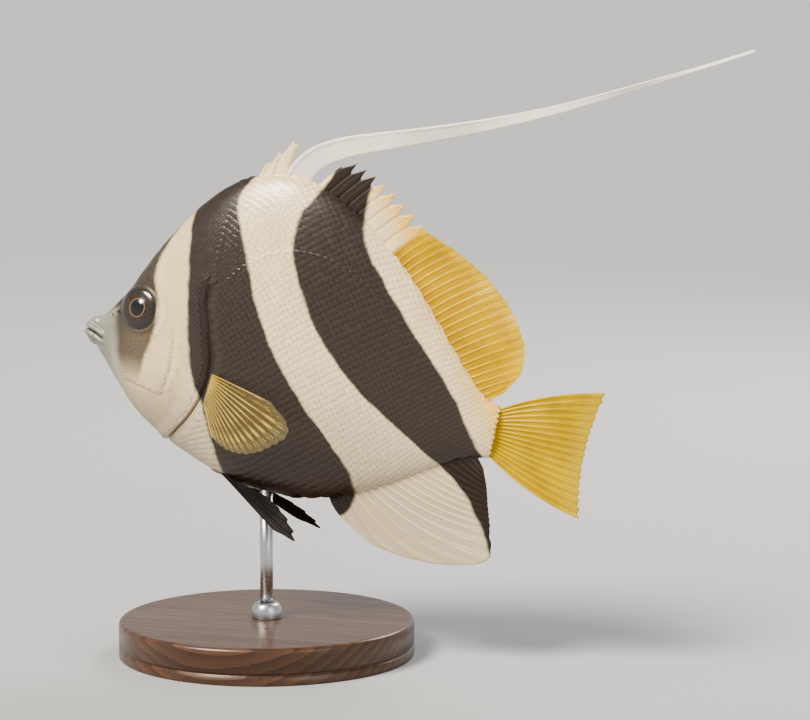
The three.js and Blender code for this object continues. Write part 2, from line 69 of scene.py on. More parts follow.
# [x, z], [x, half breadth] and for the gill opening [z, x]
backLine = [
    (0, 0.013), (0.045, 0.059), (0.09, 0.131), (0.13, 0.212), (0.2, 0.321), (0.26, 0.389),
    (0.32, 0.431), (0.38, 0.452), (0.45, 0.455), (0.54, 0.431), (0.63, 0.381), (0.73, 0.303),
    (0.82, 0.215), (0.9, 0.13), (0.96, 0.077), (1, 0.063),
]
bellyLine = [
    (0, -0.015), (0.05, -0.063), (0.1, -0.115), (0.16, -0.166), (0.24, -0.208), (0.33, -0.24),
    (0.42, -0.262), (0.5, -0.266), (0.58, -0.258), (0.66, -0.236), (0.75, -0.192), (0.84, -0.134),
    (0.92, -0.082), (0.965, -0.062), (1, -0.057),
]
girthLine = [
    (0, 0.014), (0.03, 0.024), (0.07, 0.035), (0.12, 0.05), (0.17, 0.061), (0.27, 0.08),
    (0.36, 0.088), (0.45, 0.087), (0.55, 0.079), (0.65, 0.066), (0.75, 0.05), (0.85, 0.034),
    (0.94, 0.022), (1, 0.017),
]
gillLine = [
    (-0.3, 0.17), (-0.235, 0.215), (-0.185, 0.258), (-0.13, 0.298), (-0.07, 0.325), (0, 0.334),
    (0.07, 0.318), (0.14, 0.297), (0.25, 0.293), (0.4, 0.3), (0.5, 0.31),
]


def smooth(points):
    # a curve through (place, value) pairs that stays level past its ends
    xs, ys = np.array(points, float).T
    left = np.maximum(np.arange(len(xs)) - 1, 0)
    right = np.minimum(np.arange(len(xs)) + 1, len(xs) - 1)
    slopes = (ys[right] - ys[left]) / (xs[right] - xs[left])

    def curve(x):
        x = np.asarray(x, float)
        i = np.clip(np.searchsorted(xs, x, side="left") - 1, 0, len(xs) - 2)
        span = xs[i + 1] - xs[i]
        t = np.clip((x - xs[i]) / span, 0, 1)
        return (
            ys[i] * (2 * t**3 - 3 * t**2 + 1) + slopes[i] * span * (t**3 - 2 * t**2 + t)
            + ys[i + 1] * (3 * t**2 - 2 * t**3) + slopes[i + 1] * span * (t**3 - t**2)
        )

    return curve


backZ, bellyZ, girth, gillX = smooth(backLine), smooth(bellyLine), smooth(girthLine), smooth(gillLine)


def mix(a, b, t):
    return a + (b - a) * t


def step(low, high, x):
    t = np.clip((x - low) / (high - low), 0, 1)
    return t * t * (3 - 2 * t)


def between(rise, fall, x):
    # 1 from the end of the rise to the start of the fall, 0 beyond them
    return step(*rise, x) * (1 - step(*fall, x))


def bump(x, middle, width):
    return np.exp(-(((x - middle) / width) ** 2))


def unit(ways):
    return ways / np.maximum(np.linalg.norm(ways, axis=-1, keepdims=True), 1e-9)


pitch = math.radians(fish["pitch"])
cosPitch, sinPitch = math.cos(pitch), math.sin(pitch)
rodFoot = (fish["rodAt"] * size, float(bellyZ(fish["rodAt"])) * size)
shiftX = -(rodFoot[0] * cosPitch + rodFoot[1] * sinPitch)
shiftZ = fish["bellyHeight"] - (-rodFoot[0] * sinPitch + rodFoot[1] * cosPitch)


def turnToPart(ways):
    w = np.asarray(ways, float).reshape(-1, 3)
    x = w[:, 0] * cosPitch + w[:, 2] * sinPitch
    z = -w[:, 0] * sinPitch + w[:, 2] * cosPitch
    return np.stack([x, w[:, 1], z], 1)


def toPart(points):
    return (turnToPart(points) + (shiftX, 0, shiftZ)) / 1000


def put(name, data):
    item = bpy.data.objects.new(name, data)
    bpy.context.scene.collection.objects.link(item)
    return item


def faceOut(mesh):
    # turns the faces of a closed shape outwards, by the sign of its volume
    mesh.calc_loop_triangles()
    places = np.empty(len(mesh.vertices) * 3)
    mesh.vertices.foreach_get("co", places)
    corners = np.empty(len(mesh.loop_triangles) * 3, dtype=np.int32)
    mesh.loop_triangles.foreach_get("vertices", corners)
    a, b, c = places.reshape(-1, 3)[corners.reshape(-1, 3).T]
    if np.einsum("ij,ij->i", a, np.cross(b, c)).sum() < 0:
        mesh.flip_normals()


def pointLayer(mesh, name, values):
    # keeps a number or a vector at each point under a name
    values = np.asarray(values, np.float32)
    kind, key = ("FLOAT", "value") if values.ndim == 1 else ("FLOAT_VECTOR", "vector")
    mesh.attributes.new(name, kind, "POINT").data.foreach_set(key, values.ravel())


def declare(piece, slot, *nodes):
    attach(piece, "root")
    if nodes:
        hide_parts(*nodes)
    print(piece.name + ":", len(piece.data.polygons), "faces")


def meshPiece(name, points, faces, look, slot, *nodes, **layers):
    # a finished piece from points in mm, with the layers' numbers kept at them
    mesh = bpy.data.meshes.new(name)
    mesh.from_pydata(toPart(points).tolist(), [], [tuple(f) for f in faces])
    mesh.validate(clean_customdata=False)
    faceOut(mesh)
    mesh.shade_smooth()
    for key, values in layers.items():
        pointLayer(mesh, key, values)
    mesh.materials.append(look)
    declare(put(name, mesh), slot, *nodes)


def tubeFaces(rows, ring):
    # rings of points joined to a tube, with a fan at each end to a point of its own
    i, k = np.meshgrid(np.arange(rows - 1), np.arange(ring), indexing="ij")
    a, b = i * ring + k, i * ring + (k + 1) % ring
    faces = np.stack([a, b, b + ring, a + ring], -1).reshape(-1, 4).tolist()
    tip, last = rows * ring, (rows - 1) * ring
    for k in range(ring):
        faces += [(tip, (k + 1) % ring, k), (tip + 1, last + k, last + (k + 1) % ring)]
    return faces


# Materials.

def inputOf(node, key):
    # by its number, or else the one in use among those of the name
    if isinstance(key, int):
        return node.inputs[key]
    return next(socket for socket in node.inputs if socket.name == key and socket.enabled)


def feed(tree, node, inputs):
    # gives each input a link or a constant
    for key, value in inputs.items():
        socket = inputOf(node, key)
        if isinstance(value, bpy.types.NodeSocket):
            tree.links.new(value, socket)
        elif socket.type == "RGBA":
            socket.default_value = (*value, 1.0)
        else:
            socket.default_value = value


def addNode(tree, kind, inputs=None, **settings):
    node = tree.nodes.new(kind)
    for key, value in settings.items():
        setattr(node, key, value)
    feed(tree, node, inputs or {})
    return node


def maths(tree, operation, a, b=0.0, clamp=False):
    return addNode(tree, "ShaderNodeMath", {0: a, 1: b}, operation=operation, use_clamp=clamp).outputs[0]


def times(tree, a, b):
    return maths(tree, "MULTIPLY", a, b)


def plus(tree, a, b):
    return maths(tree, "ADD", a, b)


def minus(tree, a, b):
    return maths(tree, "SUBTRACT", a, b)


def ramp(tree, value, low, high, start=0.0, end=1.0):
    ends = {"Value": value, "From Min": low, "From Max": high, "To Min": start, "To Max": end}
    return addNode(tree, "ShaderNodeMapRange", ends, interpolation_type="SMOOTHSTEP").outputs["Result"]


def blend(tree, factor, a, b, kind="MIX"):
    # 6 and 7 are the colour inputs
    inputs = {"Factor": factor, 6: a, 7: b}
    return addNode(tree, "ShaderNodeMix", inputs, data_type="RGBA", blend_type=kind).outputs[2]


def curveOf(tree, value, points, low, high, top):
    # a smooth curve through (input, output) points, with input from low to high and output from 0 to top
    node = addNode(tree, "ShaderNodeFloatCurve")
    line = node.mapping.curves[0]
    placed = [((a - low) / (high - low), b / top) for a, b in points]
    line.points[0].location = placed[0]
    line.points[-1].location = placed[-1]
    for a, b in placed[1:-1]:
        line.points.new(a, b)
    node.mapping.update()
    scaled = maths(tree, "MULTIPLY", minus(tree, value, low), 1 / (high - low), clamp=True)
    feed(tree, node, {"Value": scaled})
    return times(tree, node.outputs[0], top)


def objectPlace(tree, scale=(1, 1, 1), rotation=(0, 0, 0), location=(0, 0, 0)):
    place = addNode(tree, "ShaderNodeTexCoord").outputs["Object"]
    inputs = {"Vector": place, "Location": location, "Rotation": rotation, "Scale": scale}
    return addNode(tree, "ShaderNodeMapping", inputs).outputs[0]


def noise(tree, place, scale, detail):
    inputs = {"Vector": place, "Scale": scale, "Detail": detail}
    return addNode(tree, "ShaderNodeTexNoise", inputs).outputs["Fac"]


def objectNoise(tree, scale, detail=4, stretch=(1, 1, 1)):
    return noise(tree, objectPlace(tree, stretch), scale, detail)


def attribute(tree, name):
    return addNode(tree, "ShaderNodeAttribute", attribute_name=name).outputs["Fac"]


def bumps(tree, height, strength, distance):
    inputs = {"Height": height, "Strength": strength, "Distance": distance}
    return addNode(tree, "ShaderNodeBump", inputs).outputs[0]


def newMaterial(name):
    material = bpy.data.materials.new(name)
    material.use_nodes = True
    return material, material.node_tree, material.node_tree.nodes["Principled BSDF"]


markingsAndShade = {
    "white": (0.96, 0.77, 0.48),
    # painted shade: the underside greyer than the white above
    "bellyShade": (0.66, 0.54, 0.38),
    "cheek": (0.88, 0.68, 0.38),
    # painted shade under the head
    "throatShade": (0.42, 0.34, 0.24),
    "black": (0.03, 0.019, 0.0125),
    "muzzle": (0.165, 0.195, 0.19),
    "mottle": (0.6, 0.48, 0.33),
    "yellow": (0.8, 0.47, 0.02),
    "edge": 0.006,          # softness of a band's edge, a share of the length
    "waver": 0.008,         # how far an edge wanders
    # [z, x] of the front and hind edges of the two bands and of the mask through the eye
    "firstFront": [
        (-0.45, 0.46), (-0.3, 0.415), (-0.24, 0.392), (-0.18, 0.365), (-0.085, 0.327), (-0.04, 0.299),
        (0.04, 0.276), (0.13, 0.254), (0.2, 0.238), (0.26, 0.222), (0.32, 0.21), (0.4, 0.22), (0.6, 0.24),
    ],
    "firstHind": [
        (-0.45, 0.6), (-0.3, 0.668), (-0.24, 0.71), (-0.185, 0.706), (-0.11, 0.648), (-0.03, 0.566),
        (0.045, 0.5), (0.125, 0.443), (0.205, 0.4), (0.29, 0.36), (0.35, 0.326), (0.4, 0.318),
        (0.45, 0.34), (0.52, 0.366), (0.6, 0.4),
    ],
    "secondFront": [
        (-0.45, 1.16), (-0.3, 1.06), (-0.2, 1.0), (-0.135, 0.943), (-0.095, 0.885), (-0.055, 0.82),
        (-0.02, 0.762), (0.03, 0.685), (0.08, 0.624), (0.14, 0.568), (0.2, 0.527), (0.26, 0.492),
        (0.32, 0.47), (0.38, 0.47), (0.435, 0.492), (0.5, 0.515), (0.6, 0.54),
    ],
    "secondHind": [
        (-0.45, 1.2), (-0.12, 1.06), (-0.055, 0.985), (0.01, 0.938), (0.075, 0.887), (0.17, 0.792),
        (0.265, 0.7), (0.365, 0.62), (0.45, 0.606), (0.6, 0.66),
    ],
    "maskFront": [
        (-0.45, 0.14), (-0.1, 0.112), (-0.04, 0.093), (0.01, 0.078), (0.055, 0.068), (0.1, 0.07),
        (0.14, 0.085), (0.6, 0.12),
    ],
    "maskHind": [
        (-0.45, 0.17), (-0.1, 0.157), (-0.05, 0.164), (0.01, 0.175), (0.055, 0.181), (0.1, 0.178),
        (0.14, 0.163), (0.18, 0.15), (0.24, 0.162), (0.6, 0.3),
    ],
    # [x, z] of the lower edge of the dark saddle along the top of the snout
    "saddle": [
        (0, 0.06), (0.03, 0.052), (0.06, 0.064), (0.09, 0.095), (0.12, 0.15), (0.15, 0.22), (0.3, 0.4),
    ],
}


def markingsAndShadeGroup():
    # the fish's colours by place, with painted shade on the belly and throat, shared by skin, scales and fins
    tree = bpy.data.node_groups.new("bannerfish markings", "ShaderNodeTree")
    for name, kind in (("Colour", "NodeSocketColor"), ("Dark", "NodeSocketFloat")):
        tree.interface.new_socket(name=name, in_out="OUTPUT", socket_type=kind)
    metres = size / 1000
    awayX, awayZ = shiftX / 1000 / metres, shiftZ / 1000 / metres
    origin = (-(awayX * cosPitch - awayZ * sinPitch), 0, -(awayX * sinPitch + awayZ * cosPitch))
    place = objectPlace(tree, (1 / metres,) * 3, (0, -pitch, 0), origin)
    x, y, z = addNode(tree, "ShaderNodeSeparateXYZ", {0: place}).outputs

    def less(value):
        return minus(tree, 1.0, value)

    def product(*values):
        total = values[0]
        for value in values[1:]:
            total = times(tree, total, value)
        return total

    def shade(share, under, over):
        return blend(tree, share, under, markingsAndShade[over])

    wander = product(minus(tree, noise(tree, place, 24, 3), 0.5), 2 * markingsAndShade["waver"])
    wandered = plus(tree, x, wander)

    def past(line, soft=markingsAndShade["edge"]):
        far = minus(tree, wandered, curveOf(tree, z, markingsAndShade[line], -0.45, 0.6, 1.25))
        return ramp(tree, far, -soft, soft)

    first = product(past("firstFront"), less(past("firstHind")))
    second = product(past("secondFront"), less(past("secondHind")))
    # The mask: a bar over the forehead and through the eye, fading out on the cheek, and the snout's
    # dark top.
    behind = less(past("maskHind", 0.007))
    fade = product(ramp(tree, z, -0.11, -0.02), ramp(tree, z, 0.0, 0.12, 0.86, 0.96))
    bar = product(past("maskFront", 0.014), behind, fade)
    crest = curveOf(tree, x, markingsAndShade["saddle"], 0, 0.3, 0.4)
    saddle = product(ramp(tree, plus(tree, minus(tree, z, crest), wander), -0.01, 0.008), behind, 0.93)
    mask = maths(tree, "MAXIMUM", bar, saddle)
    dark = maths(tree, "MAXIMUM", maths(tree, "MAXIMUM", first, second), mask)
    # White above darkens to a greyer belly and a darker throat, both painted shade of the underside, with a
    # warmer cheek and a pale blue-grey muzzle.
    throatShade = product(less(ramp(tree, x, 0.24, 0.36)), ramp(tree, z, -0.03, -0.17))
    gold = ramp(tree, plus(tree, x, times(tree, z, 0.8)), 0.93, 1.06)
    pale = shade(ramp(tree, z, 0.12, -0.24), markingsAndShade["white"], "bellyShade")
    pale = shade(product(less(ramp(tree, x, 0.22, 0.34)), 0.6), pale, "cheek")
    pale = shade(product(throatShade, 0.8), pale, "throatShade")
    pale = shade(product(ramp(tree, noise(tree, place, 9, 5), 0.42, 0.7), 0.25), pale, "mottle")
    pale = shade(product(less(ramp(tree, x, 0.05, 0.15)), 0.85), pale, "muzzle")
    pale = shade(product(gold, 0.8), pale, "yellow")
    addNode(tree, "NodeGroupOutput", {"Colour": shade(dark, pale, "black"), "Dark": dark})
    return tree


fishMarkingsAndShade = markingsAndShadeGroup()


def marked(tree):
    group = tree.nodes.new("ShaderNodeGroup")
    group.node_tree = fishMarkingsAndShade
    return group.outputs


skinFinish = {
    "grain": (0.4, 0.33, 0.25), "grainShare": 0.12, "grainHeight": 0.00015,
    # painted shade for the gape, the nostril pits and the gill opening, and how much of the skin's colour it
    # covers
    "crease": (0.03, 0.016, 0.012), "creaseShare": 0.88,
    "rough": (0.32, 0.46), "coat": 0.3, "coatRough": 0.18,
    "glow": 0.06, "glowDepth": (0.002, 0.0012, 0.0008),  # share of light that goes in, and how far, metres
}


def skinMaterial():
    material, tree, shader = newMaterial("moist banded skin")
    finish, grain = skinFinish, objectNoise(tree, 900)
    grained = times(tree, grain, finish["grainShare"])
    colour = blend(tree, grained, marked(tree)["Colour"], finish["grain"], "MULTIPLY")
    # painted shade in the head's recesses, read from the skin's own layer
    creased = times(tree, attribute(tree, "crease"), finish["creaseShare"])
    feed(tree, shader, {
        "Base Color": blend(tree, creased, colour, finish["crease"]),
        "Roughness": ramp(tree, objectNoise(tree, 240), 0.3, 0.7, *finish["rough"]),
        "Coat Weight": finish["coat"], "Coat Roughness": finish["coatRough"],
        "Subsurface Weight": finish["glow"], "Subsurface Radius": finish["glowDepth"],
        "Normal": bumps(tree, grain, 0.22, finish["grainHeight"]),
    })
    return material


scaleFinish = {
    "tone": (0.95, 0.08),      # darkest scale, and how much paler the palest is
    "edge": 0.7,               # brightness of the free edge against the crown
    "crown": (0.35, 0.24, 0.15), "crownShare": 0.045,  # the paler crown on the dark bands
    "rough": (0.31, 0.37), "coat": 0.35, "coatRough": 0.15, "specular": 0.6,
}


def scaleMaterial():
    # each scale: the skin's colour, a paler crown, a darker free edge and a little variation
    material, tree, shader = newMaterial("overlapping scales")
    rim, tone, fishColour = attribute(tree, "rim"), attribute(tree, "tone"), marked(tree)
    finish = scaleFinish
    shade = plus(tree, finish["tone"][0], times(tree, tone, finish["tone"][1]))
    shade = times(tree, shade, ramp(tree, rim, 0.5, 1.0, 1.0, finish["edge"]))
    grey = addNode(tree, "ShaderNodeCombineColor", {0: shade, 1: shade, 2: shade}).outputs[0]
    colour = blend(tree, 1.0, fishColour["Colour"], grey, "MULTIPLY")
    lift = times(tree, fishColour["Dark"], ramp(tree, rim, 0.1, 0.9, finish["crownShare"], 0.0))
    feed(tree, shader, {
        "Base Color": blend(tree, lift, colour, finish["crown"]),
        "Roughness": ramp(tree, tone, 0.0, 1.0, *finish["rough"]),
        "Coat Weight": finish["coat"], "Coat Roughness": finish["coatRough"],
        "Specular IOR Level": finish["specular"],
        "Normal": bumps(tree, objectNoise(tree, 2600, 2), 0.16, 0.00008),
    })
    return material


finFinish = {
    # the rays painted paler, a painted highlight on their raised crests, and the membrane between them
    # darker, painted shade
    "rayHighlight": (1.09, 1.08, 1.06), "gapShade": (0.87, 0.85, 0.83),  # times the fin's colour
    "matt": 0.7, "glossy": 0.34,  # roughness at gloss 0 and at gloss 1
    "coat": 0.1, "coatRough": 0.3, "specular": 0.35,
    "glow": 0.1, "glowDepth": (0.0015, 0.001, 0.0006),
    "joints": 230.0,              # how close the joints of a ray are
}


def finMaterial(name, tint=None, clear=None, gloss=1.0):
    # membrane between rays: tint is its colour, its mottling's and its margin's, or else the fish's own
    # markings; clear is the membrane's and the rays' share of what they hide
    material, tree, shader = newMaterial(name)
    finish = finFinish
    ray, along, mottle = attribute(tree, "ray"), attribute(tree, "along"), objectNoise(tree, 110)
    if tint:
        colour = blend(tree, ramp(tree, mottle, 0.35, 0.7), tint[0], tint[1])
        colour = blend(tree, ramp(tree, along, 0.75, 1.0, 0.0, 0.6), colour, tint[2])
    else:
        colour = marked(tree)["Colour"]
    # painted highlight on the raised rays and painted shade on the membrane between them
    pale = blend(tree, 1.0, colour, finish["rayHighlight"], "MULTIPLY")
    gapShaded = blend(tree, 1.0, colour, finish["gapShade"], "MULTIPLY")
    rough = mix(finish["matt"], finish["glossy"], gloss)
    # Each ray is jointed: fine cross bands that show where the ray stands up.
    joints = times(tree, maths(tree, "SINE", times(tree, along, finish["joints"])), ray)
    height = plus(tree, times(tree, joints, 0.5), objectNoise(tree, 1500, 3))
    feed(tree, shader, {
        "Base Color": blend(tree, ramp(tree, ray, 0.05, 0.8), gapShaded, pale),
        "Roughness": ramp(tree, mottle, 0.3, 0.7, rough, rough + 0.14),
        "Coat Weight": finish["coat"] * gloss, "Coat Roughness": finish["coatRough"],
        "Specular IOR Level": finish["specular"] * gloss,
        "Subsurface Weight": finish["glow"], "Subsurface Radius": finish["glowDepth"],
        "Normal": bumps(tree, height, 0.25, 0.00012),
    })
    if clear:
        hidden = ramp(tree, ray, 0.72, 1.0, *clear)
        atRoot = ramp(tree, along, 0.0, 0.16, 0.8, 0.0)
        feed(tree, shader, {"Alpha": maths(tree, "MAXIMUM", hidden, atRoot)})
    return material


finTints = {
    "golden": ((0.66, 0.405, 0.005), (0.52, 0.3, 0.004), (0.68, 0.47, 0.03)),
    "lemon": ((0.6, 0.4, 0.006), (0.47, 0.29, 0.004), (0.62, 0.46, 0.05)),
    "straw": ((0.8, 0.6, 0.16), (0.72, 0.5, 0.1), (0.84, 0.72, 0.38)),
    "black": ((0.014, 0.01, 0.008), (0.009, 0.007, 0.005), (0.022, 0.016, 0.012)),
    "white": ((0.97, 0.92, 0.82), (0.93, 0.86, 0.74), (0.97, 0.94, 0.87)),
}
skinLook, scaleLook = skinMaterial(), scaleMaterial()
bandedFinLook = finMaterial("banded fin membrane")
dorsalLook = finMaterial("golden fin membrane", finTints["golden"])
tailLook = finMaterial("lemon tail membrane", finTints["lemon"])
pectoralLook = finMaterial("clear yellow membrane", finTints["straw"], clear=(0.07, 0.72))
blackFinLook = finMaterial("black fin membrane", finTints["black"], gloss=0.42)
bannerLook = finMaterial("white banner membrane", finTints["white"])
print("materials made")


# The skin: one closed loft from lips to tail root, with the head's forms raised and sunk in it.

skinGrid = {
    "stations": 330, "ring": 280,
    "snoutTip": -0.0105, "snoutRound": 0.022,  # where the snout's round cap starts and ends
    "gill": 0.3,                               # the station that is drawn out along the gill opening
    "drawnFrom": 0.06, "drawnTo": 0.9,         # how far forward and back it takes the others along
    "ridge": (0.85, 1.2),                      # how sharp back and belly are, at the snout and past the head
    "widest": 0.48,                            # where the flank is broadest, from belly to back
}
eyeShape = {
    "x": 0.132, "z": 0.08, "radius": 0.0585, "depth": 0.0243, "proud": 0.0082, "seen": 0.0445,
    "turn": 15, "lift": 9,  # degrees
}
nostrilPits = [(0.059, 0.0475, 0.0032), (0.0725, 0.057, 0.004)]  # x, z, radius
mouthLine = {"tip": -0.0012, "cornerX": 0.044, "cornerZ": -0.013}
cheekBone = {"x": 0.226, "bow": 0.012, "z": -0.1, "slope": 0.12}
headForms = {
    # heights and depths in mm
    "gape": 0.9, "lips": 0.62, "lipGroove": 0.28,
    "socket": 1.7, "socketRim": 0.5, "socketGroove": 0.14,
    "nostrilRim": 0.3, "nostrilPit": 0.75,
    "cheekEdge": 0.24, "cheekGroove": 0.12, "cheekFloor": 0.26, "floorGroove": 0.13,
    "gillCover": 0.5, "gillGroove": 0.55,
    "eyeHollow": 0.4, "brow": 0.35, "plateSeam": 0.12,
}


def section(x):
    # heights of the back, of the greatest breadth and of the belly, mm
    top, bottom = backZ(x) * size, bellyZ(x) * size
    return top, mix(bottom, top, skinGrid["widest"]), bottom


def flank(x, turn, side):
    # the flank at station x and angle turn from -pi/2 (belly) to pi/2 (back), in mm
    top, widest, bottom = section(x)
    up = np.sin(turn)
    z = widest + up * np.where(up > 0, top - widest, widest - bottom)
    power = mix(*skinGrid["ridge"], np.minimum(1, x / 0.35))
    y = side * girth(x) * size * np.maximum(np.cos(turn), 0) ** power
    return np.stack(np.broadcast_arrays(x * size, y, z), -1)


def turnAtHeight(x, z):
    # the angle whose flank point lies at height z
    top, widest, bottom = section(x)
    height = np.asarray(z) * size - widest
    return np.arcsin(np.clip(height / np.where(height > 0, top - widest, widest - bottom), -1, 1))


def flankAt(x, z, side):
    return flank(np.asarray(x, float), turnAtHeight(x, z), side)


def cheekEdge(z):
    # the upright edge of the cheek's bent bone
    return cheekBone["x"] + cheekBone["bow"] * np.cos(z * 20)


def cheekFloor(x):
    # the level edge below it
    return cheekBone["z"] + cheekBone["slope"] * (cheekBone["x"] - x)


def gillSlit(z):
    return between((-0.25, -0.21), (0.165, 0.215), z)


def mouthOff(x, z):
    # height over the line of the mouth, mm, and how far along it
    reach = np.clip(x / mouthLine["cornerX"], 0, 1.3)
    return (z - mix(mouthLine["tip"], mouthLine["cornerZ"], reach**1.4)) * size, reach


def headRelief(x, z):
    # how far the skin stands out (mm) at a point of the side view
    form = headForms
    # mouth: a slit between two rolled lips
    off, reach = mouthOff(x, z)
    relief = -form["gape"] * bump(off, 0, 0.26) * (1 - step(0.9, 1.08, reach))
    relief += bump(np.abs(off), 1.15, 0.75) * (1 - step(0.85, 1.25, reach)) * form["lips"]
    relief -= form["lipGroove"] * bump(np.abs(off), 2.3, 0.5) * between((0.0, 0.3), (0.7, 1.2), reach)
    # eye socket and its raised rim
    off = np.hypot(x - eyeShape["x"], z - eyeShape["z"]) * size
    seen = eyeShape["seen"] * size
    relief -= form["socket"] * (1 - step(seen - 0.6, seen - 0.02, off))
    relief += form["socketRim"] * bump(off, seen + 0.55, 0.62)
    relief -= form["socketGroove"] * bump(off, seen + 2.2, 0.7)
    for pitX, pitZ, radius in nostrilPits:
        off = np.hypot(x - pitX, z - pitZ) * size
        radius = radius * size
        relief += form["nostrilRim"] * bump(off, radius * 1.35, radius * 0.42)
        relief -= form["nostrilPit"] * (1 - step(radius * 0.45, radius * 1.05, off))
    # the bent bone on the cheek
    off = (x - cheekEdge(z)) * size
    upright = between((-0.105, -0.075), (0.05, 0.09), z)
    relief += upright * form["cheekEdge"] * between((-5.5, -0.2), (-0.15, 0.3), off)
    relief -= upright * form["cheekGroove"] * bump(off, 0.7, 0.45)
    off = (z - cheekFloor(x)) * size
    level = between((0.1, 0.14), (0.2, 0.232), x)
    relief += level * form["cheekFloor"] * between((-0.25, 0.15), (0.2, 4.0), off)
    relief -= level * form["floorGroove"] * bump(off, -0.6, 0.4)
    # gill cover: its free hind edge stands over the groove of the gill opening
    off = (x - gillX(z)) * size
    relief += gillSlit(z) * form["gillCover"] * between((-7.0, -0.3), (-0.32, -0.02), off)
    relief -= gillSlit(z) * form["gillGroove"] * bump(off, 0.3, 0.33)
    # soft forms: hollow before the eye, bony ridge over it, shallow seam of the gill cover's plates
    relief -= form["eyeHollow"] * bump(x, 0.09, 0.03) * bump(z, 0.01, 0.03)
    relief += form["brow"] * bump(x, 0.145, 0.045) * bump(z, 0.15, 0.018)
    off = (z - (-0.045 - 0.35 * (x - 0.27))) * size
    relief -= form["plateSeam"] * bump(off, 0, 0.5) * between((0.235, 0.25), (0.3, 0.32), x)
    return relief


def headRecessShade(x, z):
    # painted shade in the gape, the nostrils and the gill opening, where the skin sinks in: how dark, 0 to 1
    off, reach = mouthOff(x, z)
    dark = bump(off, 0, 0.3) * (1 - step(0.92, 1.06, reach))
    for pitX, pitZ, radius in nostrilPits:
        dark = np.maximum(dark, 1 - step(0.5, 0.95, np.hypot(x - pitX, z - pitZ) / radius))
    return np.maximum(dark, 0.85 * gillSlit(z) * bump((x - gillX(z)) * size, 0.3, 0.36))


def skinStations():
    # closer together over the head, and closest at the lips
    x = mix(skinGrid["snoutTip"], 1.0, np.linspace(0, 1, 2001))
    total = np.cumsum(1 + 2.6 * (1 - step(0.3, 0.4, x)) + 4 * (1 - step(0.02, 0.1, x)))
    return np.interp(np.linspace(total[0], total[-1], skinGrid["stations"]), total, x)


def gillEdge(turn):
    # the station of the gill opening's edge at each angle of the loft
    x = np.full(turn.shape, skinGrid["gill"])
    for _ in range(60):
        x = mix(x, gillX(flank(x, turn, -1)[..., 2] / size), 0.4)
    return x


def buildSkin():
    half = skinGrid["ring"] // 2
    turn = np.radians(np.concatenate([np.linspace(-90, 90, half + 1), np.linspace(90, -90, half + 1)[1:-1]]))
    side = np.concatenate([-np.ones(half + 1), np.ones(half - 1)])
    x = skinStations()[:, None]
    # the grid is drawn out so that its lines run along the gill opening
    drawn = (skinGrid["drawnFrom"], skinGrid["gill"], skinGrid["drawnTo"])
    x = x + (gillEdge(turn) - skinGrid["gill"]) * np.interp(x, drawn, (0, 1, 0))
    # the snout's round cap
    tip, roundTo = skinGrid["snoutTip"], skinGrid["snoutRound"]
    share = np.clip((x - tip) / (roundTo - tip), 0, 1)
    cap = np.sqrt(np.maximum(1 - (1 - share) ** 2, 0))
    middle = np.array([0, 0, float(mix(bellyZ(roundTo), backZ(roundTo), 0.5)) * size])
    capped = middle + (flank(np.maximum(x, roundTo), turn, side) - middle) * cap[..., None]
    skin = np.where((x < roundTo)[..., None], capped, flank(np.maximum(x, 0.0), turn, side))
    skin[..., 0] = x * size
    around = (np.roll(skin, -1, axis=1) - np.roll(skin, 1, axis=1)) / 2
    out = unit(np.cross(np.gradient(skin, axis=0), around))
    out *= np.sign(np.sum(out * (skin - skin.mean(axis=1, keepdims=True)), axis=-1).mean())
    out[0] = (-1, 0, 0)
    place = (skin[..., 0] / size, skin[..., 2] / size)
    skin = skin + out * headRelief(*place)[..., None]
    skin[..., 1] = np.where(side * skin[..., 1] < 0, 0, skin[..., 1])
    ends = [skin[0].mean(axis=0) - (0.05, 0, 0), skin[-1].mean(axis=0) + (0.4, 0, 0)]
    points = np.concatenate([skin.reshape(-1, 3), ends])
    # painted shade of the gape, nostrils and gill opening, kept at each point of the skin
    dark = np.append(headRecessShade(*place), (0.0, 0.0))
    replaced = ("head", "torso", "tail_stalk")
    meshPiece("skin", points, tubeFaces(*x.shape), skinLook, "skin", *replaced, crease=dark)


buildSkin()


# Geometry Nodes, for the scales and the spines.

def geometryTree(name, inputs):
    # a tree with named inputs besides its geometry, and what they give
    tree = bpy.data.node_groups.new(name, "GeometryNodeTree")
    for key, kind in {"Geometry": "Geometry", **inputs}.items():
        tree.interface.new_socket(name=key, in_out="INPUT", socket_type="NodeSocket" + kind)
    tree.interface.new_socket(name="Geometry", in_out="OUTPUT", socket_type="NodeSocketGeometry")
    return tree, tree.nodes.new("NodeGroupInput").outputs


def finishTree(tree, geometry, look):
    made = addNode(tree, "GeometryNodeSetMaterial", {"Geometry": geometry, "Material": look})
    addNode(tree, "NodeGroupOutput", {0: made.outputs[0]})
    return tree


def runNodes(name, source, tree, settings):
    # sets the named inputs, evaluates, and puts a plain mesh object in the source's place
    modifier = source.modifiers.new("made", "NODES")
    modifier.node_group = tree
    for item in tree.interface.items_tree:
        if item.in_out == "INPUT" and item.name in settings:
            modifier[item.identifier] = settings[item.name]
    bpy.context.view_layer.update()
    graph = bpy.context.evaluated_depsgraph_get()
    made = source.evaluated_get(graph)
    mesh = bpy.data.meshes.new_from_object(made, preserve_all_data_layers=True, depsgraph=graph)
    mesh.name = name
    bpy.data.objects.remove(source)
    return put(name, mesh)


# Scales: shield-shaped plates set in rows over the flanks, each overlapping the one behind.

